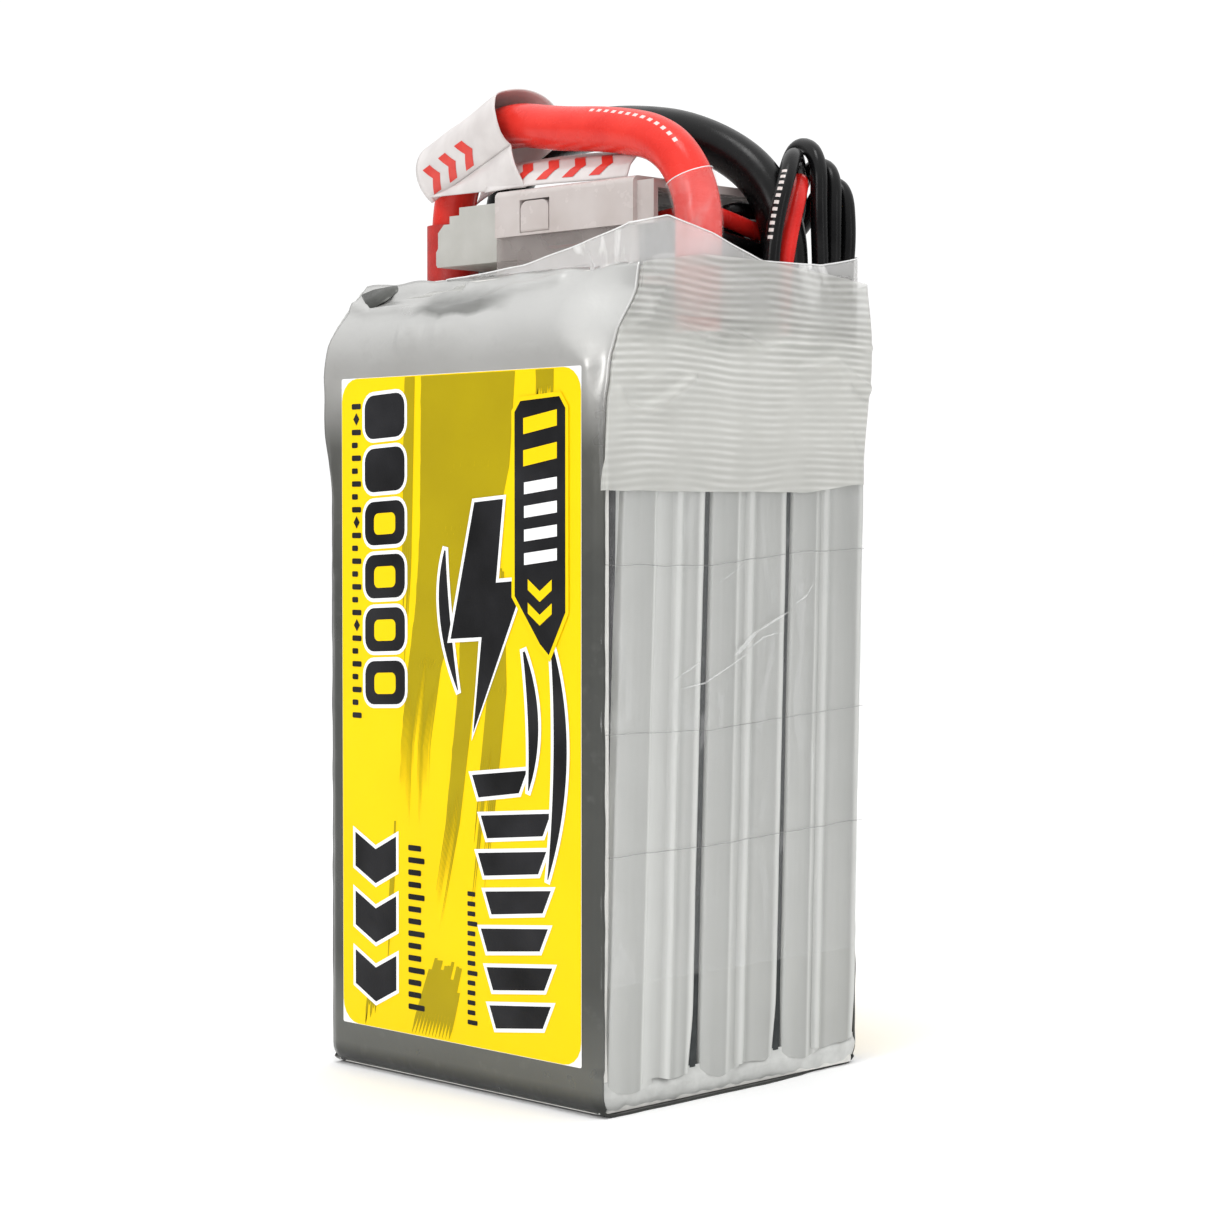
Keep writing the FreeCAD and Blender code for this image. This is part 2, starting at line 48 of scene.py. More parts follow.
# ---- nodes and materials ---------------------------------
def srgb(red, green, blue):
    """An 8-bit screen colour as linear RGBA."""
    def linear(c):
        c /= 255
        return c / 12.92 if c <= 0.04045 else ((c + 0.055) / 1.055) ** 2.4
    return (linear(red), linear(green), linear(blue), 1)


# Pairs of cells from front to back: where each starts, the gap before it, where its folded
# seal overlaps, and where that seal has its ridge. Millimetres along Y.
PAIRS = [(-16.85, 0.05, 4.3, 7.35), (-5.01, 0.50, 3.8, 5.5), (6.83, 0.34, 3.7, 4.9)]
PAIR_PITCH = 11.84
PAIR_DEPTH = 11.6


def in_pair(start, gap, at):
    """Place along Y of a step across a pair, which is squeezed by the gap before it."""
    return start + gap + at * (PAIR_PITCH - gap) / PAIR_DEPTH


class Shader:
    """A material under construction: one Principled shader and the nodes feeding it.

    Sockets are named with _ for a space; colours are 8-bit screen colours.
    """

    def __init__(self, name, **sockets):
        self.material = bpy.data.materials.new(name)
        self.material.use_nodes = True
        self.tree = self.material.node_tree
        self.main = self.tree.nodes["Principled BSDF"]
        self.fill(self.main, sockets)
        self.texture = self.tree.nodes.new("ShaderNodeTexCoord")

    def plug(self, target, value):
        if isinstance(value, bpy.types.NodeSocket):
            self.tree.links.new(value, target)
        else:
            target.default_value = value

    def fill(self, node, sockets):
        for key, value in sockets.items():
            self.plug(node.inputs[key.replace("_", " ")], value)

    def node(self, kind, **sockets):
        made = self.tree.nodes.new(kind)
        self.fill(made, sockets)
        return made

    def stretched(self, x=1, y=1, z=1):
        """Object coordinates in millimetres, times a factor on each axis."""
        return self.node("ShaderNodeMapping", Vector=self.texture.outputs["Object"],
                         Scale=(x * 1000, y * 1000, z * 1000)).outputs["Vector"]

    def place(self):
        """Object coordinates in millimetres, as three sockets."""
        return self.node("ShaderNodeSeparateXYZ", Vector=self.stretched()).outputs

    def noise(self, size, detail=3.0, stretch=(1, 1, 1), distortion=0.0):
        """Noise with features of a size in millimetres."""
        return self.node("ShaderNodeTexNoise", Vector=self.stretched(*stretch), Scale=1 / size,
                         Detail=detail, Distortion=distortion).outputs["Fac"]

    def math(self, operation, a, b=0.0):
        made = self.tree.nodes.new("ShaderNodeMath")
        made.operation = operation
        self.plug(made.inputs[0], a)
        self.plug(made.inputs[1], b)
        return made.outputs[0]

    def plus(self, a, b):
        return self.math("ADD", a, b)

    def times(self, value, *factors):
        for factor in factors:
            value = self.math("MULTIPLY", value, factor)
        return value

    def between(self, value, low, high, to_low=0.0, to_high=1.0):
        """A number that goes from to_low to to_high while the value goes from low to high."""
        return self.node("ShaderNodeMapRange", Value=value, From_Min=low, From_Max=high,
                         To_Min=to_low, To_Max=to_high).outputs["Result"]

    def ramp(self, value, stops):
        made = self.node("ShaderNodeValToRGB", Fac=value)
        elements = made.color_ramp.elements
        while len(elements) < len(stops):
            elements.new(0.5)
        for element, (place, colour) in zip(elements, stops):
            element.position = place
            element.color = srgb(*colour)
        return made.outputs["Color"]

    def patches(self, size, low, high):
        """Two colours in soft patches of a size in millimetres."""
        return self.ramp(self.noise(size), [(0.3, low), (0.7, high)])

    def mix(self, amount, tone, colour):
        """A tone with some of a plain colour over it."""
        made = self.tree.nodes.new("ShaderNodeMix")
        made.data_type = "RGBA"
        for socket, value in ((0, amount), (6, tone), (7, srgb(*colour))):
            self.plug(made.inputs[socket], value)
        return made.outputs[2]

    def colour(self, value):
        self.plug(self.main.inputs["Base Color"], value)

    def rough(self, value, low, high):
        self.plug(self.main.inputs["Roughness"], self.between(value, 0.3, 0.7, low, high))

    def bump(self, height, distance_mm, strength=1.0):
        made = self.node("ShaderNodeBump", Height=height, Distance=distance_mm * MM,
                         Strength=strength)
        self.plug(self.main.inputs["Normal"], made.outputs["Normal"])


def mottled(name, low, high, size, rough=(0.35, 0.5), bump=0.02, grain=0.3, **sockets):
    """Plain material with slight colour variation, uneven gloss and fine grain."""
    made = Shader(name, **sockets)
    made.colour(made.patches(size, low, high))
    made.rough(made.noise(size * 0.4), *rough)
    made.bump(made.noise(grain, 2.0), bump)
    return made.material


def foil_cover():
    """Metallised film, with painted reflection and shade: dark where it faces the viewer low down,
    light at the shoulder.
    """
    made = Shader("foil_cover", Metallic=0.55, Specular_IOR_Level=0.6)
    x, y, z = made.place()
    ramp_height = 80.0
    drift = made.times(made.math("SUBTRACT", made.noise(14, 2.0), 0.5), 0.10)
    # Painted reflection and shade: the colour runs with height, darker low on the front and lighter
    # at the shoulder.
    tone = made.ramp(made.plus(made.math("DIVIDE", z, ramp_height), drift), [
        (0.0, (88, 89, 85)), (0.06, (98, 99, 95)), (0.16, (70, 71, 68)), (0.62, (72, 73, 70)),
        (0.76, (92, 92, 88)), (0.85, (178, 177, 174)), (0.93, (188, 188, 186))])
    uneven = made.plus(z, made.times(made.noise(3, 2.0), 1.6))
    # Painted shade: a darker patch over a hollow in the foil of the shoulder.
    dent_shade = made.between(y, -13, -12, 0.72, 0)
    for value, low, high, start, end in (
            (x, -9.0, -6.5, 0, 1), (x, 0.5, 5.0, 1, 0),
            (uneven, 75.3, 75.9, 0, 1), (uneven, 76.8, 78.6, 1, 0)):
        dent_shade = made.times(dent_shade, made.between(value, low, high, start, end))
    tone = made.mix(dent_shade, tone, (92, 93, 90))
    # Painted shade: darker along the rounded bottom edge.
    tone = made.mix(made.between(z, 1.1, 2.5, 0.9, 0), tone, (40, 41, 39))
    specks = made.between(made.noise(1.5, 4.0), 0.6, 0.8, 0.0, 0.12)
    made.colour(made.mix(specks, tone, (140, 140, 136)))
    made.rough(made.noise(5), 0.26, 0.40)
    made.bump(made.noise(3.5, 3.0, distortion=0.6), 0.12, 0.6)
    return made.material


def pouch_foil():
    """Laminated aluminium foil of a cell, with painted highlights and painted shade as the light
    and dark bands of its folded seals.
    """
    made = Shader("pouch_foil", Metallic=0.45, Specular_IOR_Level=0.4)
    x, y, z = made.place()
    tilt = made.times(made.between(z, -21, 83, -2, 2), made.between(y, -17, 17, 1, 0.65),
                      made.between(x, -1, 1, 0.3, 1))
    front, rear = -17, 19
    place = made.between(made.math("SUBTRACT", y, tilt), front, rear)
    stops = []
    # Painted highlights and shade: each stop lightens or darkens the pair's tone at the edges and
    # ridges of its folded seals.
    for (start, gap, fold, ridge), tone in zip(PAIRS, (184, 177, 175)):
        for at, painted_shading in ((0.3, 4), (fold - 0.1, -14), (fold + 0.15, 24), (ridge - 0.45, -6),
                         (ridge + 0.1, 30), (ridge + 0.8, 16), (ridge + 1.25, -16),
                         (ridge + 1.9, 0), (10.2, -14), (10.75, 28)):
            shade = tone + painted_shading
            stops.append(((in_pair(start, gap, at) - front) / (rear - front),
                          (shade, shade + 1, shade - 2)))
    streaks = made.between(made.noise(3.0, 1.5, stretch=(1, 1, 0.04)), 0.3, 0.7, 0.0, 0.35)
    made.colour(made.mix(streaks, made.ramp(place, stops), (192, 193, 190)))
    made.rough(made.noise(4), 0.34, 0.5)
    made.bump(made.noise(1.6, 3.0, stretch=(1, 1, 0.3)), 0.03, 0.4)
    return made.material


def clear_film(name, alpha, tint, wrinkle):
    """Clear film, seen by its gloss and its wrinkles."""
    made = Shader(name, Specular_IOR_Level=1.0)
    made.colour(made.patches(6, tint, (250, 250, 250)))
    folds = made.noise(5.0, 4.0, stretch=(1, 1, 0.45), distortion=1.2)
    creased = made.between(folds, 0.58, 0.7, alpha, min(1.0, alpha * 2.6))
    made.plug(made.main.inputs["Alpha"], creased)
    made.rough(made.noise(3), 0.08, 0.2)
    made.bump(folds, wrinkle, 0.8)
    return made.material


def reinforced_tape():
    """Milky tape with level glass fibres under its surface; clearer above the cells."""
    made = Shader("reinforced_tape", Specular_IOR_Level=0.4)
    height = made.place()[2]
    fibre_pitch = 0.72
    drift = made.plus(made.times(made.noise(16, 1.0), 2.6),
                      made.times(made.noise(4, 1.0, stretch=(0.4, 0.4, 1)), 0.3))
    phase = made.times(made.plus(height, drift), 2 * math.pi / fibre_pitch)
    swing = made.times(made.math("SINE", phase), made.between(made.noise(5), 0.35, 0.6, 0.10, 0.40),
                       made.between(height, 66, 76, 0.45, 1.0))
    lines = made.plus(swing, 0.5)
    cloud = made.plus(lines, made.times(made.noise(4, 3.0), 0.3))
    made.colour(made.ramp(cloud, [(0.25, (176, 176, 171)), (0.65, (196, 196, 191)),
                                  (1.0, (222, 222, 218))]))
    high = made.plus(height, made.times(made.noise(7, 2.0), 5.0))
    cover = made.times(made.between(high, 73.5, 78.5, 0.93, 0.50),
                       made.between(height, 57.5, 63.0, 0.86, 1.0))
    made.plug(made.main.inputs["Alpha"], cover)
    made.rough(lines, 0.30, 0.42)
    made.bump(lines, 0.12, 0.6)
    return made.material


def silicone(name, low, high, dashes=None):
    """Silicone jacket; dashes are printed marks: their number, and where they start and end
    along the jacket and round it."""
    made = Shader(name, Specular_IOR_Level=0.2)
    tone = made.patches(3.0, low, high)
    if dashes:
        count, *limits = dashes
        uv = made.node("ShaderNodeSeparateXYZ", Vector=made.texture.outputs["UV"]).outputs
        marks = made.math("LESS_THAN", made.math("FRACT", made.times(uv["X"], count)), 0.5)
        for place, (start, end) in zip((uv["X"], uv["Y"]), limits):
            marks = made.times(marks, made.math("GREATER_THAN", place, start),
                               made.math("LESS_THAN", place, end))
        tone = made.mix(made.times(marks, 0.75), tone, (240, 232, 228))
    made.colour(tone)
    made.rough(made.noise(1.2), 0.2, 0.32)
    made.bump(made.noise(0.5, 3.0), 0.012, 0.5)
    return made.material


def printed(name, low, high, rough=(0.38, 0.5)):
    """Ink or coated label stock."""
    return mottled(name, low, high, 9.0, rough, 0.01, 0.25, Specular_IOR_Level=0.12)


FOIL = foil_cover()
POUCH = pouch_foil()
WRAP = clear_film("clear_wrap_film", 0.07, (225, 226, 226), 0.08)
SLEEVE = clear_film("clear_sleeve_film", 0.05, (226, 216, 214), 0.1)
COLLAR = clear_film("clear_collar_film", 0.33, (226, 225, 222), 0.15)
SEAM = mottled("film_seam", (132, 133, 131), (150, 151, 149), 2.0, Alpha=0.21)
# A darker copy of the cover foil: painted shade and dark reflection for its folded corner.
FOIL_SHADED = mottled("foil_shaded", (62, 63, 60), (92, 93, 90), 2.5, (0.28, 0.4), 0.03, 0.6,
                    Metallic=0.5)
LIP = mottled("film_lip", (186, 187, 184), (206, 207, 204), 2.0, (0.3, 0.45), 0.06, 0.7)
# Near black for the strips that stand for shade in the gaps between pairs of cells.
SHADE_STRIP = mottled("pair_shade_strip", (34, 38, 38), (48, 52, 52), 2.0, (0.6, 0.8))
# Near white for folds in the clear wrap: painted highlights along them.
CREASE = mottled("film_crease_highlight", (226, 227, 225), (244, 244, 243), 0.8, (0.2, 0.3), Alpha=0.42)
# Near white for the cut edges of the films: a painted highlight along them.
EDGE = mottled("film_edge_highlight", (236, 236, 235), (250, 250, 250), 1.0, (0.15, 0.3), Alpha=0.85)
TAPE = reinforced_tape()
YELLOW = printed("yellow_print", (247, 209, 0), (249, 214, 0))
OLIVE = printed("olive_print", (168, 148, 0), (176, 156, 0))
WHITE = printed("white_print", (246, 246, 246), (252, 252, 252))
BLACK = printed("black_print", (5, 5, 6), (40, 40, 43), (0.3, 0.42))
RED_JACKET = silicone("red_jacket", (216, 46, 38), (228, 58, 48),
                      (62, (0.27, 0.48), (0.315, 0.345)))
JET = (7, 7, 8), (15, 15, 16)
BLACK_JACKET = silicone("black_jacket", *JET)
WIRE_BLACK = silicone("wire_black", *JET)
WIRE_PRINTED = silicone("wire_black_printed", *JET, (90, (0.10, 0.22), (0.2, 0.3)))
WIRE_RED = silicone("wire_red", (196, 30, 26), (214, 42, 36))
TAG = mottled("tag_film", (203, 197, 195), (218, 213, 211), 3.0, (0.3, 0.45), 0.02, 0.8)
TAG_INK = mottled("tag_ink", (206, 46, 36), (220, 60, 48), 2.0)
CLIP = mottled("clip_plastic", (198, 188, 184), (212, 204, 201), 5.0, (0.18, 0.3), 0.004, 1.5,
               Specular_IOR_Level=0.5, Alpha=0.86)
# The clip's lower half: the same plastic, darker as painted shade for its recessed wall, and more
# see-through.
CLIP_LOWER_SHADED = mottled("clip_plastic_lower_shaded", (158, 148, 145), (176, 168, 165), 5.0, (0.14, 0.24),
                     0.004, 1.5, Specular_IOR_Level=0.5, Alpha=0.5)
# Painted shade: the white housing is made grey for its shaded face.
PLUG_WHITE = mottled("plug_white", (176, 175, 169), (186, 185, 180), 3.0, (0.32, 0.45), 0.006)
# Painted shade: the red housing is darkened for the shadow it sits in.
PLUG_RED = mottled("plug_red", (146, 35, 28), (166, 46, 38), 3.0, (0.3, 0.42))
SHRINK_RED = mottled("shrink_red", (172, 30, 24), (190, 40, 32), 2.0, (0.3, 0.45), 0.04)
SHRINK_BLACK = mottled("shrink_black", (20, 20, 20), (34, 34, 34), 2.0, (0.3, 0.45), 0.04)
GOLD = mottled("gold_contacts", (214, 178, 92), (232, 200, 120), 2.0, (0.18, 0.3), 0.01,
               Metallic=1.0)
TIN = mottled("tin_contacts", (190, 190, 188), (214, 214, 212), 1.0, (0.2, 0.35), 0.01,
              Metallic=1.0)
CARD = mottled("card", (214, 213, 208), (228, 227, 222), 1.5, (0.6, 0.75), 0.03)
BOARD = mottled("board", (22, 70, 38), (30, 88, 48), 4.0, (0.25, 0.4))
FOAM = mottled("foam", (62, 62, 64), (90, 90, 92), 0.8, (0.8, 0.95), 0.15, 0.5)
ELECTRODE = mottled("electrode", (34, 34, 36), (52, 52, 54), 2.0, (0.6, 0.8))
ADHESIVE = mottled("adhesive", (222, 220, 208), (236, 234, 224), 2.0)

CAD_FINISH = {
    "front_board": CARD, "bottom_pad": CARD, "top_insulator": CARD, "top_foam": FOAM,
    "balance_board": BOARD, "solder_joints": TIN, "positive_tabs": TIN, "negative_tabs": TIN,
    "cell_adhesive": ADHESIVE, "red_heat_shrink": SHRINK_RED, "black_heat_shrink": SHRINK_BLACK,
    "main_plug_housing": PLUG_RED, "main_plug_contacts": GOLD, "balance_plug_housing": PLUG_WHITE,
    "balance_plug_contacts": TIN, "clip_upper_half": CLIP, "clip_lower_half": CLIP_LOWER_SHADED,
    "clip_latch": CLIP,
}
for number in range(1, 7):
    CAD_FINISH["electrode_stack_%d" % number] = ELECTRODE
for name, material in CAD_FINISH.items():
    nodes[name].data.materials.clear()
    nodes[name].data.materials.append(material)

# ---- camera ----------------------------------------------
eye = Vector((194.1, -194.3, 54.5)) * MM
target = Vector((1.3, 0.0, 46.2)) * MM
camera_data = bpy.data.cameras.new("camera")
camera_data.sensor_width = 36
camera_data.lens = 80.8
camera_data.clip_start = 0.01
camera = bpy.data.objects.new("camera", camera_data)
scene.collection.objects.link(camera)
camera.location = eye
camera.rotation_euler = (target - eye).to_track_quat("-Z", "Y").to_euler()
scene.camera = camera


# ---- making pieces ---------------------------------------
def add_piece(name, data, replaced=(), slot=None):
    piece = bpy.data.objects.new(name, data)
    scene.collection.objects.link(piece)
    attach(piece, BODY)
    if replaced:
        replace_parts(piece, *replaced)
    return piece


def mesh_piece(name, points, faces, material, replaced=(), slot=None):
    """A mesh from points in millimetres."""
    mesh = bpy.data.meshes.new(name)
    mesh.from_pydata([Vector(p) * MM for p in points], [], faces)
    mesh.polygons.foreach_set("use_smooth", [True] * len(faces))
    mesh.materials.append(material)
    mesh.validate()
    return add_piece(name, mesh, replaced, slot)


def grid(columns, rows, place, loop=False):
    """Points and faces of a grid; place takes two numbers from 0 to 1."""
    across = columns if loop else columns + 1
    points = [place(i / columns, j / rows) for j in range(rows + 1) for i in range(across)]
    faces = []
    for j in range(rows):
        for i in range(columns):
            right = (i + 1) % across
            faces.append((j * across + i, j * across + right, (j + 1) * across + right,
                          (j + 1) * across + i))
    return points, faces


def merged(*grids):
    """Several grids as one mesh."""
    points, faces = [], []
    for more_points, more_faces in grids:
        faces += [tuple(i + len(points) for i in face) for face in more_faces]
        points += more_points
    return points, faces


def facing(side, shape):
    """A grid as it is on the right side, and with its faces turned round on the left side."""
    points, faces = shape
    return points, faces if side > 0 else [face[::-1] for face in faces]


def thicken(piece, thickness, offset=-1.0):
    solid = piece.modifiers.new("thickness", "SOLIDIFY")
    solid.thickness = thickness * MM
    solid.offset = offset


def round_curve(name, kind, points, radius_mm, resolution, material):
    """Curve data with a round section along points in metres."""
    curve = bpy.data.curves.new(name, "CURVE")
    curve.dimensions = "3D"
    spline = curve.splines.new(kind)
    spline.points.add(len(points) - 1)
    for point, place in zip(spline.points, points):
        point.co = (*place, 1)
    curve.bevel_depth = radius_mm * MM
    curve.bevel_resolution = resolution
    curve.materials.append(material)
    return curve


def film_edge_highlight(name, spots, radius_mm=0.07):
    """The cut edge of a film, as a thin rounded thread in near white: a painted highlight along the
    edge.
    """
    points = [Vector(spot) * MM for spot in spots]
    add_piece(name, round_curve(name, "POLY", points, radius_mm, 2, EDGE), slot="clear_film")


def wave(x, y, z, size, seed=0.0):
    """Smooth noise from -1 to 1 with features of a size in millimetres."""
    return noise.noise(Vector((x / size + seed, y / size - seed, z / size + 2 * seed)))


def smooth(value, low, high):
    """0 below low, 1 above high, with a soft change between."""
    t = max(0.0, min(1.0, (value - low) / (high - low)))
    return t * t * (3 - 2 * t)


def at_stops(stops, at, ease=False):
    """Value at a place along (place, value) stops, straight or eased between them."""
    for (a0, b0), (a1, b1) in zip(stops, stops[1:]):
        if at <= a1:
            t = smooth(at, a0, a1) if ease else max(0.0, (at - a0) / (a1 - a0))
            return b0 + (b1 - b0) * t
    return stops[-1][1]


def on_line(points, exact):
    """A place on a line of points; exact counts stretches from the first point."""
    index = min(int(exact), len(points) - 2)
    return [a + (b - a) * (exact - index) for a, b in zip(points[index], points[index + 1])]


def bend(a, b, c, t):
    """Place and direction on a curve from a to c that is drawn towards b."""
    place = a * (1 - t) ** 2 + b * 2 * t * (1 - t) + c * t ** 2
    return place, ((b - a) * (1 - t) + (c - b) * t).normalized()


def arcs(corners, radius, count):
    """Points of quarter turns; each corner has a centre and a starting angle."""
    points = []
    for x, y, start in corners:
        for k in range(count + 1):
            angle = math.radians(start + 90 * k / count)
            points.append((x + radius * math.cos(angle), y + radius * math.sin(angle)))
    return points


def rounded_path(corners, radii):
    """Points along straight runs with rounded corners, in a plane."""
    step, turn_points = 0.5, 8
    path = [corners[0]]
    for before, corner, after, radius in zip(corners, corners[1:], corners[2:], radii):
        middle, back, ahead = Vector(corner), Vector(before), Vector(after)
        to_back, to_ahead = (back - middle).normalized(), (ahead - middle).normalized()
        turn = math.pi - to_back.angle(to_ahead)
        reach = radius * math.tan(turn / 2)
        centre = middle + (to_back + to_ahead).normalized() * (radius / math.cos(turn / 2))
        start, end = middle + to_back * reach, middle + to_ahead * reach
        for k in range(turn_points + 1):
            arm = (start - centre).slerp(end - centre, k / turn_points) * radius
            path.append(tuple(centre + arm))
    path.append(corners[-1])
    dense = [Vector(path[0])]
    for point in path[1:]:
        point = Vector(point)
        gap = (point - dense[-1]).length
        pieces = max(1, int(gap / step))
        start = dense[-1]
        dense.extend(start.lerp(point, k / pieces) for k in range(1, pieces + 1))
    return dense


# ---- leads and wires -------------------------------------
RED_ROUTE = [
    (16.5, -3.0, 72.8), (16.5, -3.0, 79.2), (16.7, -3.0, 86.0), (12.4, -2.6, 91.6),
    (4.6, -2.0, 93.5), (-4.0, -1.3, 94.4), (-12.5, -0.2, 96.0), (-20.5, 1.6, 94.4),
    (-24.4, 2.4, 88.8), (-24.4, 2.4, 84.6),
]
BLACK_ROUTE = [
    (16.2, 10.2, 72.8), (16.2, 10.2, 78.4), (15.5, 10.5, 84.4), (12.0, 10.6, 90.0),
    (4.6, 9.6, 94.2), (-4.0, 9.0, 95.8), (-12.5, 8.8, 96.0), (-20.5, 9.3, 94.2),
    (-24.4, 9.8, 88.8), (-24.4, 9.8, 84.6),
]
WIRE_ROUTES = [
    [(18.3, 5.3, 72.8), (18.3, 5.3, 78.4), (18.3, 6.0, 83.6), (18.2, 7.9, 88.5),
     (16.3, 11.2, 91.5), (13.2, 15.5, 90.1), (12.6, 16.2, 85.2), (12.5, 12.4, 81.6),
     (12.3, 7.4, 82.2), (11.2, 2.6, 83.4), (7.6, -0.9, 83.6), (1.6, -1.4, 83.5),
     (-3.4, -1.5, 83.6), (-7.6, -1.5, 83.6)],
    [(18.3, 7.1, 72.8), (18.3, 7.1, 78.2), (18.3, 8.3, 83.2), (17.7, 10.3, 87.1),
     (15.6, 13.1, 89.1), (12.6, 14.3, 87.2), (12.0, 12.2, 83.3), (12.1, 7.8, 84.3),
     (11.0, 3.6, 85.5), (7.0, 1.3, 84.6), (1.4, 1.1, 83.5), (-3.4, 1.0, 83.6),
     (-7.6, 1.0, 83.6)],
    [(18.0, 16.9, 72.8), (18.0, 16.9, 78.6), (18.3, 17.2, 83.6), (17.3, 17.8, 88.6),
     (13.8, 18.2, 88.8), (12.0, 17.5, 84.4), (10.6, 14.0, 82.0), (10.4, 10.0, 82.5),
     (9.6, 6.0, 82.4), (5.6, 3.8, 83.0), (0.4, 3.4, 83.5), (-3.9, 3.5, 83.6),
     (-7.6, 3.5, 83.6)],
    [(18.0, 15.1, 72.8), (18.0, 15.1, 79.0), (18.3, 14.8, 84.8), (17.5, 15.8, 90.0),
     (13.4, 17.2, 90.9), (10.8, 17.5, 87.9), (10.5, 14.6, 84.2), (10.3, 10.2, 84.2),
     (8.6, 6.7, 84.0), (3.4, 5.9, 83.5), (-2.2, 6.0, 83.6), (-7.6, 6.0, 83.6)],
    [(18.0, 13.3, 72.8), (18.0, 13.3, 79.2), (18.3, 12.6, 85.0), (17.5, 13.6, 91.5),
     (12.9, 15.3, 93.0), (10.7, 15.8, 88.8), (10.6, 13.0, 85.9), (9.9, 9.6, 86.2),
     (5.8, 8.5, 84.6), (0.6, 8.4, 83.5), (-3.8, 8.5, 83.6), (-7.6, 8.5, 83.6)],
    [(16.0, 15.0, 72.8), (16.0, 15.0, 76.8), (14.8, 14.2, 80.2), (11.2, 12.0, 79.9),
     (7.4, 11.2, 81.4), (2.2, 10.9, 83.2), (-2.9, 11.0, 83.6), (-7.6, 11.0, 83.6)],
    [(14.1, 14.7, 72.8), (14.1, 14.7, 76.0), (13.1, 14.9, 79.3), (9.6, 14.9, 80.3),
     (6.2, 13.8, 81.2), (3.4, 14.6, 83.6), (0.2, 14.9, 85.5), (-2.8, 13.8, 84.3),
     (-4.6, 13.5, 83.6), (-7.6, 13.5, 83.6)],
]
LEAD_D = 4.5
WIRE_D = 1.7


def cord_piece(name, route, diameter, material, slot):
    """A lead as one NURBS curve along its route, given in millimetres."""
    points = [[c * MM for c in place] for place in route]
    curve = round_curve(name, "NURBS", points, diameter / 2, 8, material)
    spline = curve.splines[0]
    spline.order_u = 3
    spline.use_endpoint_u = True
    spline.use_smooth = True
    curve.resolution_u = 16
    curve.use_fill_caps = True
    return add_piece(name, curve, [name], slot)


def declare(route):
    tuple(c * MM for c in route[0])


red_lead = cord_piece("red_lead", RED_ROUTE, LEAD_D, RED_JACKET, "red_silicone")
black_lead = cord_piece("black_lead", BLACK_ROUTE, LEAD_D, BLACK_JACKET, "black_silicone")
declare(RED_ROUTE)
declare(BLACK_ROUTE)
WIRE_LENGTHS = [65, 53.7, 53, 53.2, 52, 30.8, 30]
WIRE_JACKETS = {1: (WIRE_PRINTED, "black_silicone"), 2: (WIRE_RED, "red_silicone")}
for number, (route, length) in enumerate(zip(WIRE_ROUTES, WIRE_LENGTHS), 1):
    jacket = WIRE_JACKETS.get(number, (WIRE_BLACK, "black_silicone"))
    wire = cord_piece("balance_wire_%d" % number, route, WIRE_D, *jacket)
    declare(route)


# ---- metallised cover sheet ------------------------------
COVER_PATH = rounded_path([(-13.9, 78.7), (-19.1, 72.6), (-19.1, 0.0), (19.1, 0.0), (19.1, 77.6)],
                          [9.0, 2.0, 2.0])
FRONT = sorted((p.y, p.x) for p in COVER_PATH if p.x < -10 and p.y > 4)
SHOULDER = [(57, -18.95), (66, -18.4), (70, -17.7), (72.5, -16.8), (75.2, -14.9), (76.2, -14.3),
            (79, -13.9)]
# Folds of the cover sheet's shoulder: stops in x and height, width, and how far they stand out.
COVER_FOLDS = [
    ([(-19.3, 76.6), (-16.1, 75.9), (-12.0, 76.0), (-4.4, 75.2), (0.0, 75.9), (4.0, 77.0),
      (10.0, 77.6)], 0.42, 0.40),
    ([(-16.0, 76.6), (-9.6, 77.2), (-4.4, 77.8)], 0.5, -0.30),
    ([(-9.4, 73.2), (-8.0, 73.7), (-6.4, 73.3)], 0.30, 0.12),
    ([(-9.2, 72.4), (-7.8, 72.0), (-6.2, 72.5)], 0.30, 0.12),
    ([(-4.4, 73.0), (-3.0, 73.4), (-1.8, 72.8)], 0.28, 0.10),
    ([(-4.0, 72.3), (-2.4, 71.8), (-0.8, 72.2)], 0.28, 0.10),
    ([(-18.6, 60.0), (-17.9, 56.5), (-18.4, 50.0)], 0.6, 0.18),
]


def fold_height(folds, a, b):
    """How far folds stand out of a surface at a place on it."""
    total = 0.0
    for stops, width, height in folds:
        best = 9.0
        for (a0, b0), (a1, b1) in zip(stops, stops[1:]):
            run = (a1 - a0) ** 2 + (b1 - b0) ** 2
            t = max(0.0, min(1.0, ((a - a0) * (a1 - a0) + (b - b0) * (b1 - b0)) / run))
            best = min(best, math.hypot(a - a0 - t * (a1 - a0), b - b0 - t * (b1 - b0)))
        total += height * math.exp(-(best / width) ** 2)
    return total


def front_face(x, z):
    """Depth of the cover sheet's front; its right edge is drawn in under the tape."""
    y = at_stops(FRONT, z)
    start = 17.2 - 4.7 * smooth(z, 69, 73)
    return y + max(0.0, at_stops(SHOULDER, z) - y) * smooth(x, start, 19.2)


COVER_HALF = 19.3


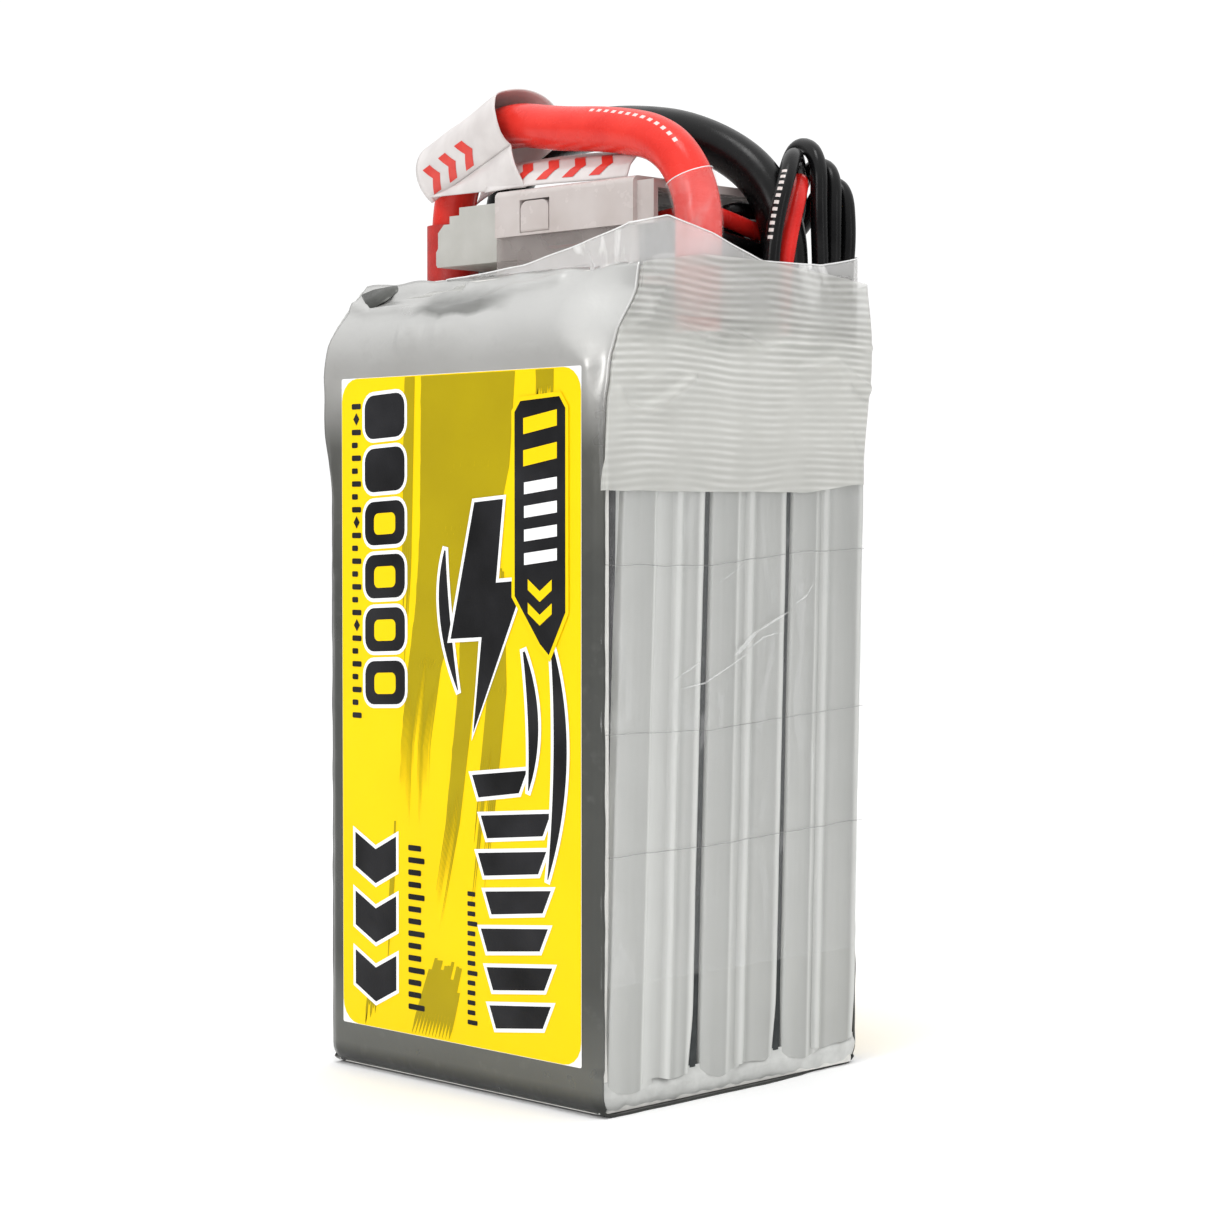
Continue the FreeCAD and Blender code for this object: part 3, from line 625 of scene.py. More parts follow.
def cover_place(u, v):
    """A point of the cover sheet; u runs across the pack, v from the front shoulder to the back."""
    exact = v * (len(COVER_PATH) - 1)
    index = min(int(exact), len(COVER_PATH) - 2)
    y, z = COVER_PATH[index].lerp(COVER_PATH[index + 1], exact - index)
    x = -COVER_HALF + 2 * COVER_HALF * u
    front = y < -10 and z > 0.6
    lip = smooth(abs(x), 17.9, COVER_HALF)
    x *= 1 - 0.055 * smooth(y, 4, 16)
    if front:
        y = front_face(x, z) if z > 4.5 else y
        y += 0.45 * lip ** 2 * (1 - smooth(z, 57, 66))
        swell = smooth(z, 69.5, 73.5)
        out = fold_height(COVER_FOLDS, x, z) + 0.22 * swell * wave(x, 0, z, 6.0, 1.3)
        y -= out * (0.85 if z > 70 else 1.0)
        z += out * 0.5 * swell
        z += 0.35 * smooth(z, 76.0, 78.6) * wave(x, 0, 0, 4.0, 4.1)
        x -= 0.6 * smooth(-x, 15, COVER_HALF) * smooth(z, 58, 64) * (1 - smooth(z, 72, 77))
    elif y > 10 and z > 0.6:
        y -= 0.45 * lip ** 2
    x += 0.12 * lip * wave(0, y, z, 2.5, 7.7)
    return x, y, z


cover_grid = grid(150, len(COVER_PATH) - 1, cover_place)
thicken(mesh_piece("cover_sheet", *cover_grid, FOIL, ["cover_sheet"], "cover_foil"), 0.2, 1.0)


def corner_flap(name, outline):
    """A folded-over corner of the sheet, lying on its shoulder, in the darker copy of the foil as
    painted shade; outline is in x and height.
    """
    low = [Vector((x, front_face(x, z) - 0.04, z)) for x, z in outline]
    middle = sum(low, Vector()) / len(low)
    top = [p.lerp(middle, 0.16) + Vector((0, -0.22, 0.16)) for p in low]
    count = len(outline)
    faces = [(k, (k + 1) % count, count + (k + 1) % count, count + k) for k in range(count)]
    mesh_piece(name, low + top, faces + [tuple(range(count, 2 * count))], FOIL_SHADED,
               slot="cover_foil")


corner_flap("cover_corner", [(-19.2, 77.7), (-17.6, 78.2), (-14.3, 78.45), (-13.7, 77.9),
                             (-14.2, 77.1), (-16.1, 76.0), (-17.6, 76.7)])


# ---- film lip under the side seals -----------------------
def bottom_lip(side):
    """The torn edge of film gathered under the side seals."""
    def place(u, v):
        y = -18.4 + 36.2 * u
        low = 0.35 + 0.35 * wave(0, y, 0, 1.3, 2.0) + 0.6 * smooth(y, 15.0, 18.0) ** 2
        z = low + (3.2 - low) * v
        x = 18.55 + 0.42 * math.sin(math.pi * min(1.0, v * 1.6) * 0.5)
        x += 0.04 * wave(0, y, z, 2.6, 7.0) - 0.35 * smooth(v, 0.55, 0.9)
        return side * x, y, z
    return facing(side, grid(150, 14, place))


for side, name in ((1, "bottom_lip_right"), (-1, "bottom_lip_left")):
    thicken(mesh_piece(name, *bottom_lip(side), LIP, slot="clear_film"), 0.12)


# ---- labels ----------------------------------------------
LABEL_FACE = -19.13
LABEL_STEP = 0.018
PRINT_LOW, PRINT_HIGH = 4.65, 68.85


def grown(shape, amount):
    """A polygon's outline moved outwards by an amount."""
    area = sum(a[0] * b[1] - b[0] * a[1] for a, b in zip(shape, shape[1:] + shape[:1]))
    sign = 1 if area > 0 else -1
    result = []
    for before, here, after in zip(shape[-1:] + shape[:-1], shape, shape[1:] + shape[:1]):
        first = (Vector(here) - Vector(before)).normalized()
        second = (Vector(after) - Vector(here)).normalized()
        normal = Vector((first.y + second.y, -first.x - second.x)) * sign
        scale = max(0.45, normal.length / 2)
        result.append(tuple(Vector(here) + normal.normalized() * (amount / scale)))
    return result


def rounded_box(x0, x1, z0, z1, radius, slant=0.0):
    """Rounded rectangle on the label; slant shifts its right side up."""
    left, right, low, high = x0 + radius, x1 - radius, z0 + radius, z1 - radius
    outline = arcs([(right, high, 0), (left, high, 90), (left, low, 180), (right, low, 270)],
                   radius, 5)
    return [(x, z + slant * (x - x0)) for x, z in outline]


def print_layer(name, shapes, material, level, side=-1):
    """Flat printed shapes on a label, one ink; each level lies over the one before."""
    points, faces = [], []
    y = side * (-LABEL_FACE + LABEL_STEP * level)
    for shape in shapes:
        faces.append(tuple(range(len(points), len(points) + len(shape))))
        points.extend((x, y, z) for x, z in shape)
    piece = mesh_piece(name, points, faces, material, slot="label_print")
    piece.modifiers.new("flat_faces", "TRIANGULATE")
    return piece


def brush(stops, bristles, fray_top, fray_end, seed):
    """A dry brush stroke down the label, as separate bristle marks with ragged ends."""
    marks = []
    top, end = stops[0][0], stops[-1][0]
    lefts = [(-z, a) for z, a, _ in stops]
    rights = [(-z, b) for z, _, b in stops]
    for k in range(bristles):
        u0, u1 = k / bristles, (k + 1) / bristles
        middle = (u0 + u1) / 2
        start = top - fray_top * abs(wave(middle * 9, 0, 0, 1.0, seed) * 1.6)
        stop = end + fray_end * (0.5 + 1.1 * wave(middle * 5, 0, 0, 1.0, seed + 3)
                                 + 0.5 * wave(middle * 23, 0, 0, 1.0, seed + 5))
        stop = max(PRINT_LOW, stop)
        count = max(3, int((start - stop) / 0.8))
        left, right = [], []
        for j in range(count + 1):
            z = start + (stop - start) * j / count
            a, b = at_stops(lefts, -z), at_stops(rights, -z)
            thin = 0.5 * max(0.0, (j / count - 0.75) * 4) * (u1 - u0)
            shake = 0.05 * wave(0, k, z, 1.4, seed)
            low = 0 if k else shake * 2 / max(0.5, b - a)
            left.append((a + (b - a) * (u0 + thin + low), z))
            right.append((a + (b - a) * (u1 - thin), z))
        marks.append(left + right[::-1])
    return marks


def arrow(x, z, width, height, bend):
    """A chevron pointing down the label."""
    half = width / 2
    return [(x - half, z), (x, z - bend), (x + half, z), (x + half, z - height),
            (x, z - height - bend), (x - half, z - height)]


def blade(points, widths):
    """A tapered stroke from the first point to the last, drawn towards the middle one."""
    a, b, c = (Vector(p) for p in points)
    count = 24
    left, right = [], []
    for k in range(count + 1):
        t = k / count
        here, run = bend(a, b, c, t)
        half = widths[0] * (1 - t) * t * 2 + widths[1] * (1 - t) + widths[2] * t
        left.append((here.x - run.y * half, here.y + run.x * half))
        right.append((here.x + run.y * half, here.y - run.x * half))
    return left + right[::-1]


LABEL_SHEET = rounded_box(-17.1, 17.0, 4.5, 69.0, 0.2)
LABEL_GROUND = rounded_box(-17.06, 16.96, 4.54, 68.96, 2.3)
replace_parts(print_layer("front_label", [LABEL_SHEET], WHITE, 0), "front_label")
print_layer("label_ground", [LABEL_GROUND], YELLOW, 1)
# Brush strokes: stops of height, left and right edge; number of bristles; fraying at the top
# and at the end; seed; level.
STROKES = [
    ([(PRINT_HIGH, -5.1, 8.2), (60, -5.2, 7.4), (54, -5.3, 5.6), (47, -5.9, 1.2),
      (41, -7.0, -2.2), (33, -8.2, -3.8), (25, -8.6, -4.2)], 26, 0, 7, 1.0, 2),
    ([(PRINT_HIGH, -7.5, -6.0), (50, -8.0, -6.6), (39, -8.6, -7.4)], 5, 0, 8, 2.0, 2.2),
    ([(58, 3.4, 5.4), (45, 0.6, 3.4), (38.7, 0.2, 2.6), (25.8, -1.6, 0.4), (13, -4.4, -2.9)],
     10, 9, 11, 3.0, 2.4),
    ([(52, 4.2, 6.6), (38.9, 4.4, 7.0), (26.1, 2.6, 5.2), (18.0, 1.4, 4.0)], 10, 8, 9, 5.0, 2.6),
    ([(12.5, -3.6, 1.3), (4.6, -6.9, -1.0)], 12, 4, 0, 6.0, 2.2),
    ([(PRINT_HIGH, 11.0, 13.4), (65.0, 11.0, 13.3)], 6, 0, 2, 7.0, 2.2),
    ([(26, -9.4, -8.6), (10, -10.6, -10.0)], 3, 3, 8, 8.0, 2.8),
    ([(9, -13.2, -11.6), (PRINT_LOW, -13.8, -12.2)], 5, 3, 2, 9.0, 2.2),
]
for number, (*stroke, level) in enumerate(STROKES, 1):
    name = "label_brush_%d" % number if number > 1 else "label_brush"
    print_layer(name, brush(*stroke), OLIVE, level)

CELL_ROWS = [36.6 + 5.25 * k for k in range(6)]
bars = [rounded_box(-13.5, -7.5, z, z + 4.3, 1.3, 0.05) for z in CELL_ROWS]
windows = [rounded_box(-12.1, -8.9, z + 1.1, z + 3.2, 0.6, 0.05) for z in CELL_ROWS[:4]]
bolt = [(2.6, 56.6), (6.6, 56.9), (5.6, 49.0), (9.6, 49.3), (2.4, 34.6), (3.6, 43.8), (-0.8, 43.5)]
blades = [
    blade([(13.2, 43.0), (15.6, 33.0), (12.6, 21.5)], (1.5, 0.2, 0.05)),
    blade([(9.4, 42.6), (11.6, 36.0), (10.0, 29.6)], (1.2, 0.15, 0.05)),
    blade([(-1.6, 52.0), (-2.6, 46.0), (0.2, 38.6)], (1.3, 0.1, 0.05)),
]
speed = [[(x0, z), (x1, z + 0.9), (x1 - 1.1, z - 1.3), (x0 + 0.9, z - 2.1)]
         for x0, x1, z in ((2.2, 9.8, 30.6), (3.4, 13.0, 26.8), (3.0, 12.4, 23.2),
                           (4.0, 13.0, 19.6), (3.4, 12.6, 16.0), (4.2, 13.2, 12.4),
                           (4.6, 13.0, 8.8))]
badge = [(8.2, 65.0), (9.0, 66.0), (14.2, 66.3), (15.0, 65.2), (15.0, 46.4), (12.8, 42.4),
         (11.6, 43.4), (8.2, 47.8)]
chevrons = [arrow(-12.0, z, 6.2, 3.4, 1.5) for z in (23.8, 17.9, 12.0)]


def emblem(name, shapes, level, rim=WHITE, width=0.36):
    """Black shapes with a rim of another ink under them."""
    print_layer(name + "_rim", [grown(shape, width) for shape in shapes], rim, level)
    print_layer(name, shapes, BLACK, level + 0.5)


emblem("label_cells", bars + chevrons + speed, 3)
emblem("label_blades", blades, 4)
emblem("label_bolt", [bolt], 5)
emblem("label_badge", [badge], 6, YELLOW, 0.42)


def diamond(x, z, size):
    return [(x, z + size), (x + 0.75 * size, z), (x, z - size), (x - 0.75 * size, z)]


ticks = [rounded_box(-15.5, -14.6 if k % 2 else -14.1, z, z + 0.55, 0.15)
         for k, z in enumerate(35.2 + 1.28 * k for k in range(25)) if k % 8 != 7]
ticks += [diamond(-14.8, 35.5 + 1.28 * k, 0.62) for k in (7, 15, 23)]
ticks += [rounded_box(-7.1, -5.2 if k % 3 else -4.7, 7.0 + 1.2 * k, 7.55 + 1.2 * k, 0.15)
          for k in range(14)]
ticks += [rounded_box(1.5, 2.6 if k % 5 else 2.9, 6.6 + 0.95 * k, 7.05 + 0.95 * k, 0.1)
          for k in range(14)]
print_layer("label_ticks", ticks, BLACK, 3)
stripes = [[(9.4, z), (13.9, z + 0.7), (13.9, z - 0.8), (9.4, z - 1.5)] for z in (64.4, 61.4)]
stripes += [arrow(11.6, z, 3.2, 1.0, 1.1) for z in (49.4, 47.2)]
print_layer("label_badge_stripes", stripes, YELLOW, 7)
lights = [[(9.5, z), (13.9, z + 0.5), (13.9, z - 0.6), (9.5, z - 1.1)]
          for z in (58.4, 56.2, 54.0, 51.8)]
print_layer("label_badge_lights", lights, WHITE, 7)
print_layer("label_windows", windows, YELLOW, 4)

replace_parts(print_layer("rear_label", [LABEL_SHEET], WHITE, 0, 1), "rear_label")
print_layer("rear_label_ground", [LABEL_GROUND], YELLOW, 1, 1)
print_layer("rear_label_marks", [rounded_box(-13, 13, 12 + 6 * k, 13.2 + 6 * k, 0.5)
                                 for k in range(8)], BLACK, 2, 1)


# ---- cells -----------------------------------------------
def lean(y, z, side=1):
    """How far the cells lean back at a height; less at the rear and on the left side."""
    return (z - 31) / 26 * (1.0 - 0.35 * (y + 17) / 34) * (1 if side > 0 else 0.3)


def seal_profile(back, fold, ridge):
    """Height of a folded side seal over the cell, at steps across a pair from its front edge."""
    if not back:
        return [(0.0, -0.4), (0.25, 0.36), (0.6, 0.40), (4.2, 0.40), (4.6, 0.33), (5.9, 0.28)]
    return [(fold, 0.30), (fold + 0.15, 0.45), (fold + 0.45, 0.34), (ridge - 0.5, 0.30),
            (ridge - 0.1, 0.62), (ridge + 0.4, 0.64), (ridge + 1.1, 0.34), (10.4, 0.34),
            (10.85, 0.46), (11.1, 0.38), (11.3, -0.4)]


def cell_side(number, side):
    """Folded seal on one side of a cell, as a grid; it moves with its pair."""
    start, gap, fold, ridge = PAIRS[(number - 1) // 2]
    back = number % 2 == 0
    profile = seal_profile(back, fold, ridge)
    first, last = profile[0][0], profile[-1][0]

    def place(u, v):
        at = first + (last - first) * u
        y = in_pair(start, gap, at)
        foot = 2.0 + 0.5 * wave(y, 0, 0, 3.0, number) + (0.5 if back else 0)
        if number == 6:
            foot += 0.5 * smooth(u, 0.75, 1.0) ** 2
        z = foot + (67.0 - foot) * v
        curl = 1 - smooth(z, 2.0, 9.0)
        edge = smooth(u, 0.75, 1.0) if back else 1 - smooth(u, 0.0, 0.3)
        x = 18.62 + at_stops(profile, at, ease=True) + 0.04 * wave(0, y, z, 5.0, number)
        x += 0.035 * wave(0, y * 3, z * 0.2, 2.0, number + 9)
        x -= (0.12 if number == 6 else 0.35) * curl * edge
        y += (-0.12 if back else 0.35) * curl * edge + 0.07 * wave(0, at, z, 9.0, 4.4 + number)
        return side * x, y + lean(y, z, side), z
    return facing(side, grid(64, 90, place))


def cell_body(number):
    """The thick part of a cell, crowned at its ends, with rounded edges."""
    low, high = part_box("pouch_cell_%d" % number)
    y0, y1 = low.y / MM, high.y / MM
    middle, half = (y0 + y1) / 2, (y1 - y0) / 2

    def place(u, v):
        angle = 2 * math.pi * u
        c, s = math.cos(angle), math.sin(angle)
        x = 18.55 * math.copysign(abs(c) ** 0.12, c)
        y = half * math.copysign(abs(s) ** 0.30, s)
        z = 1.25 + 66.2 * v
        end = min(1.0, min(v, 1 - v) * 66 / 1.4)
        pull = 1 - 0.06 * (1 - end) ** 2
        return x * pull, middle + y * (1 - 0.25 * (1 - end) ** 2) + 0.2 * lean(y, z), z
    columns, rows = 72, 60
    points, faces = grid(columns, rows, place, True)
    bottom, top = range(columns), range(rows * columns, (rows + 1) * columns)
    return points, faces + [tuple(bottom)[::-1], tuple(top)]


for number in range(1, 7):
    name = "pouch_cell_%d" % number
    shape = merged(cell_body(number), cell_side(number, -1), cell_side(number, 1))
    mesh_piece(name, *shape, POUCH, [name], "pouch_foil")


def shade_strip(side, seam_y):
    """A dark strip put in the gap between two pairs of cells as painted shade."""
    def place(u, v):
        z = 3.0 + 55 * v
        y = seam_y + 1.2 * (u - 0.5) + lean(seam_y, z, side)
        return side * (18.58 + 0.1 * math.sin(math.pi * u)), y, z
    return facing(side, grid(6, 60, place))


# Painted shade: dark strips in the gaps between pairs of cells on both sides, filed under the
# adhesive slot.
shade_strips = [shade_strip(side, start) for side in (-1, 1) for start, *_ in PAIRS[1:]]
mesh_piece("pair_shade_strips", *merged(*shade_strips), SHADE_STRIP, slot="adhesive")


# ---- clear wrap over the cells ---------------------------
def ring(half_x, half_y, radius):
    """A rounded rectangle round the pack, as closely spaced (x, y) points."""
    x, y = half_x - radius, half_y - radius
    outline = arcs([(x, -y, 270), (x, y, 0), (-x, y, 90), (-x, -y, 180)], radius, 10)
    spacing = 0.45
    dense = []
    for a, b in zip(outline, outline[1:] + outline[:1]):
        pieces = max(1, int((Vector(b) - Vector(a)).length / spacing))
        dense.extend(tuple(Vector(a).lerp(Vector(b), k / pieces)) for k in range(pieces))
    return dense


def band_piece(name, outline, rows, shape, material, slot):
    """A band round the pack; shape turns a place of the outline and a height from 0 to 1
    into a point."""
    count = len(outline)

    def place(u, v):
        x, y = outline[round(u * count) % count]
        return shape(x, y, v)
    return mesh_piece(name, *grid(count, rows, place, True), material, [name], slot)


WRAP_LOW, WRAP_HIGH = 12.0, 69.5
FILM_FACE = 19.33


def wrap_shape(x, y, v):
    """The clear wrap, a little wrinkled on its sides."""
    z = WRAP_LOW + (WRAP_HIGH - WRAP_LOW) * v
    side = smooth(abs(x), 18.6, 19.1)
    wrinkle = 0.05 * wave(0, y + 0.8 * z, z - 0.5 * y, 3.0, 2.2)
    return x + math.copysign(side * wrinkle, x), y, z


band_piece("clear_wrap", ring(19.27, 18.64, 0.5), 110, wrap_shape, WRAP, "clear_film")


def seam(name, stops, height):
    """A narrow strip on the right face where one turn of film ends on the next."""
    def place(u, v):
        y, z = on_line(stops, u * (len(stops) - 1))
        return FILM_FACE, y, z + height * (v - 0.5) + 0.12 * wave(0, y, z, 3, 5)
    thicken(mesh_piece(name, *grid(80, 1, place), SEAM, slot="clear_film"), 0.03)


seam("film_seam_upper", [(-18.5, 50.8), (-4.2, 50.6), (8.9, 51.8), (18.5, 52.1)], 0.09)
seam("film_seam_middle", [(-18.5, 35.3), (-4.1, 35.0), (8.9, 35.8), (18.5, 36.3)], 0.07)
seam("film_seam_lower", [(-18.0, 24.0), (-4.1, 24.0), (8.9, 24.5), (18.5, 24.8)], 0.09)

# Creases as stops in y and height, and how wide they are.
WRAP_CREASES = [
    ([(-0.9, 41.9), (0.5, 42.8), (1.5, 43.6), (2.6, 44.3)], 0.75),
    ([(2.0, 44.0), (5.0, 45.2), (7.4, 46.1)], 0.28),
    ([(0.9, 42.4), (3.4, 43.6), (6.6, 44.2)], 0.16),
    ([(7.9, 46.7), (9.7, 47.5), (11.4, 49.3)], 0.22),
    ([(-9.5, 39.9), (-7.0, 40.9), (-5.1, 41.8)], 0.14),
    ([(-8.8, 39.0), (-5.0, 39.5), (-0.7, 41.3), (1.2, 42.2)], 0.18),
    ([(-3.9, 48.6), (-1.6, 49.6), (1.4, 51.4)], 0.08),
]


def creases():
    """Folds in the film, as tapered slivers in near white: painted highlights along the folds."""
    face = FILM_FACE + 0.01
    points, faces = [], []
    for stops, width in WRAP_CREASES:
        spots = [Vector(a).lerp(Vector(b), k / 6) for a, b in zip(stops, stops[1:])
                 for k in range(6)]
        spots.append(Vector(stops[-1]))
        start = len(points)
        for k, spot in enumerate(spots):
            t = k / (len(spots) - 1)
            half = width * math.sin(math.pi * t) ** 0.8 * (0.5 + 0.25 * wave(k, 0, 0, 1.7, width))
            for x, z in ((face, -half), (face + 0.25 * half, 0), (face, half)):
                points.append((x, spot.x, spot.y + z))
        for k in range(len(spots) - 1):
            a = start + 3 * k
            faces += [(a, a + 3, a + 4, a + 1), (a + 1, a + 4, a + 5, a + 2)]
    mesh_piece("film_creases", points, faces, CREASE, slot="clear_film")


creases()


# ---- fibre tape ------------------------------------------
# Creases as stops in y and height, their width, and how far they stand out.
TAPE_CREASES = [
    ([(-16.9, 66.6), (-16.2, 65.3), (-13.8, 65.0), (-10.5, 66.2), (-7.1, 68.2)], 0.48, 0.55),
    ([(-13.8, 67.8), (-9.8, 68.7), (-7.1, 68.5)], 0.35, 0.25),
    ([(-15.1, 72.7), (-12.5, 73.6), (-9.1, 73.1), (-5.7, 72.0)], 0.45, 0.5),
    ([(-4.9, 72.5), (-2.2, 73.0), (0.6, 72.2)], 0.32, 0.5),
    ([(0.8, 72.4), (3.1, 71.5), (7.2, 72.2), (11.7, 72.2), (15.5, 71.9), (19.1, 72.2)], 0.3, 0.3),
    ([(8.7, 69.8), (13.2, 70.6), (16.3, 68.9), (19.0, 67.8)], 0.42, 0.5),
    ([(14.6, 69.6), (15.6, 67.6), (17.8, 66.4)], 0.35, 0.35),
    ([(16.0, 63.4), (17.4, 61.0), (17.9, 57.6)], 0.45, 0.28),
    ([(-13.6, 78.8), (-11.0, 76.6), (-12.2, 74.6)], 0.42, 0.35),
]


TAPE_LOW, TAPE_HIGH = 57.6, 78.2
# The tape's upper edge along the right face: y and height.
TAPE_EDGE = [(-19, 78.3), (-13.7, 78.7), (-5.6, 79.9), (2.9, 79.9), (12, 79.2), (18, 78.6),
             (19.5, 78.2)]


def tape_shape(x, y, v):
    """The tape swells over the cells' tops and follows the cover sheet's shoulder in front."""
    right = smooth(x, 17.5, 19.3)
    left = smooth(-x, 17.5, 19.3)
    top = TAPE_HIGH + (at_stops(TAPE_EDGE, y) - TAPE_HIGH) * right
    z = TAPE_LOW + (top - TAPE_LOW) * v + 0.10 * wave(x, y, 0, 4.0, 6.1) * (1 - v)
    z += 0.9 * smooth(y, 8, 19) * right * (1 - v)
    bulge = smooth(z, 60, 71) * (1 - 0.5 * smooth(z, 73, 79))
    soft = 0.16 * wave(0, y * 0.5, z * 1.2, 4.0, 3.3) * smooth(z, 60, 66)
    x += right * (0.06 + 0.75 * bulge * smooth(y, 6, 18) + soft)
    if x > 18:
        x += right * fold_height(TAPE_CREASES, y, z) * (1 - 0.6 * smooth(y, 17.5, 18.8))
    x -= left * (0.05 + 0.75 * bulge + soft)
    y += smooth(y, 17.5, 18.8) * (0.3 * bulge * right)
    if y < -10:
        y = max(y, front_face(x, z) + 0.3)
    return x, y, z


band_piece("fibre_tape", ring(19.42, 18.75, 0.7), 170, tape_shape, TAPE, "fibre_tape")


# ---- free edge of the clear film -------------------------
COLLAR_RIM = [(x + 0.4, y) for x, y in ring(18.85, 16.2, 1.2)]
# Stops of that edge: by y along the right side, and by x along the front and the rear.
RIM_RIGHT = [(-14.1, 82.3), (-10, 83.2), (-4, 82.0), (3, 79.9), (12, 80.0), (18.3, 81.2)]
RIM_FRONT = [(-18.5, 78.4), (-4, 78.7), (4, 79.3), (12, 80.8), (17, 82.0), (19.3, 82.6)]
RIM_REAR = [(-18.5, 79.1), (8, 80.0), (19.3, 81.2)]


def rim_height(x, y):
    """Height of the film's free edge round the pack."""
    if x > 18:
        return at_stops(RIM_RIGHT, y)
    return at_stops(RIM_REAR if y > 0 else RIM_FRONT, x)


def collar_shape(x, y, v):
    """The free end of the film, which stands up past the tape."""
    y_mid = y + 2.1
    top = rim_height(x, y_mid) + 0.10 * wave(x, y, 0, 5.5, 3)
    low = 74.0 if x > 13.4 else 78.26
    z = low + (top - low) * v
    fold = 0.2 * wave(x * 0.7 + y, y - x, z * 0.3, 5.0, 6.6)
    front_limit = -14.9
    inside = front_face(x, z) + 0.3 if z < 78.6 and y < -8 else front_limit
    return min(19.9, x + 0.2 * fold * v), max(front_limit, inside, y_mid + fold * v), z


collar = band_piece("clear_collar", COLLAR_RIM, 16, collar_shape, COLLAR, "clear_film")
thicken(collar, 0.06)
film_edge_highlight("collar_edge", [collar_shape(x, y, 1) for x, y in COLLAR_RIM + COLLAR_RIM[:1]])


# ---- film round the foot of the red lead -----------------
def lead_foot(t):
    """Centre and direction of the red lead over its first two bends; t runs from 0 to 2."""
    route = [Vector(p) for p in RED_ROUTE[:4]]
    ends = [route[0], (route[1] + route[2]) / 2, (route[2] + route[3]) / 2]
    k = min(1, int(t))
    return bend(ends[k], route[k + 1], ends[k + 1], t - k)


def sleeve():
    """Clear film wound round the foot of the red lead."""
    columns = 56

    def place(u, v):
        angle = 2 * math.pi * u
        slant = 0.10 * math.sin(angle + 0.8) * smooth(v, 0.7, 1.0)
        centre, run = lead_foot(0.56 + 1.26 * v + slant)
        side = Vector((0, 1, 0))
        across = run.cross(side).normalized()
        radius = 2.40 + 0.09 * wave(math.cos(angle) * 2, math.sin(angle) * 2, v * 3, 1.2, 4)
        radius += 0.12 * smooth(v, 0.9, 1.0) * (1 + math.sin(angle * 2))
        return centre + across * (radius * math.cos(angle)) + side * (radius * math.sin(angle))
    piece = mesh_piece("red_lead_sleeve", *grid(columns, 48, place, True), SLEEVE,
                       ["red_lead_sleeve"], "clear_film")
    thicken(piece, 0.05)
    film_edge_highlight("sleeve_edge", [place(k / columns, 1) for k in range(columns + 1)], 0.05)


sleeve()


# ---- pull tag --------------------------------------------
TAG_FOOT = Vector((-24.5, 2.0, 91.6))
TAG_MOUTH = Vector((-10.5, -0.3, 95.8))
ROLL_START, ROLL_SWEEP = -48, 276
# The tail runs along x; its stops in y and height go from the clip up.
TAIL_START, TAIL_LENGTH = -12.8, 20.4
TAIL_STOPS = [(-3.6, 88.55), (-3.1, 89.8), (-1.9, 91.0), (0.5, 91.8)]
TAIL_STRETCHES = 3


def tag_point(t, degrees, radius):
    """A point on the rolled strip: t runs along its axis, and the angle round it, from the
    far side over the top."""
    along = (TAG_MOUTH - TAG_FOOT).normalized()
    side = Vector((0, 0, 1)).cross(along).normalized()
    up = along.cross(side)
    angle = math.radians(degrees)
    centre = TAG_FOOT + (TAG_MOUTH - TAG_FOOT) * t
    return centre + side * (radius * math.cos(angle)) + up * (radius * math.sin(angle))


def roll_radius(u, v):
    return 4.0 + 0.12 * math.sin(u * 9) + 0.1 * wave(u * 8, v * 8, 0, 2.0, 1)


def tag_roll(u, v):
    degrees = ROLL_START + ROLL_SWEEP * u
    mouth = 0.06 * math.sin(u * 7) + 0.10 * smooth(u, 0.55, 0.75) - 0.08 * smooth(u, 0.8, 1.0)
    return tag_point(v * (1 + mouth), degrees, roll_radius(u, v))


def tag_bridge(u, v):
    """The strip between the roll's near edge and the part that stands on the clip."""
    top = tag_roll(1.0, v)
    foot = Vector((-21.4 + 14.6 * v, -2.9 - 0.6 * v, 88.9 - 0.3 * v))
    out = Vector((0, -0.5, 0.2)) * math.sin(math.pi * u)
    return top.lerp(foot, u) + out


def tag_tail(u, v):
    """The part that stands on the clip; u runs up it, v along it."""
    y, z = on_line(TAIL_STOPS, min(TAIL_STRETCHES - 0.001, TAIL_STRETCHES * u))
    return TAIL_START + TAIL_LENGTH * v, y, z + 0.15 * math.sin(v * 5)


tag = mesh_piece("pull_tag", *merged(grid(72, 30, tag_roll), grid(14, 30, tag_bridge),
                                     grid(18, 44, tag_tail)), TAG, ["pull_tag"], "tag_film")
thicken(tag, 0.14, 0.0)


def roll_mark(t):
    """A red chevron printed round the roll."""
    middle, width, length, point = 200, 40, 0.10, 0.09

    def place(u, v):
        at = t + (v - 0.5) * length + point * (1 - abs(2 * u - 1))
        angle = middle + (u - 0.5) * width
        around = (angle - ROLL_START) / ROLL_SWEEP
        return tag_point(at, angle, roll_radius(around, at) + 0.10)
    return grid(12, 3, place)


def tail_mark(t):
    """A red chevron printed on the standing part of the strip."""
    length, point = 0.075, 0.06

    def place(u, v):
        at = t + (v - 0.5) * length + point * (1 - abs(2 * u - 1))
        x, y, z = tag_tail(0.12 + 0.62 * u, at)
        return x, y - 0.10, z + 0.06
    return grid(12, 3, place)


first_mark, mark_step, mark_run = 4.2, 3.6, 19.4
marks = [roll_mark(t) for t in (0.14, 0.36, 0.58)]
marks += [tail_mark((first_mark + mark_step * k) / mark_run) for k in range(4)]
mesh_piece("pull_tag_print", *merged(*marks), TAG_INK, slot="tag_film")


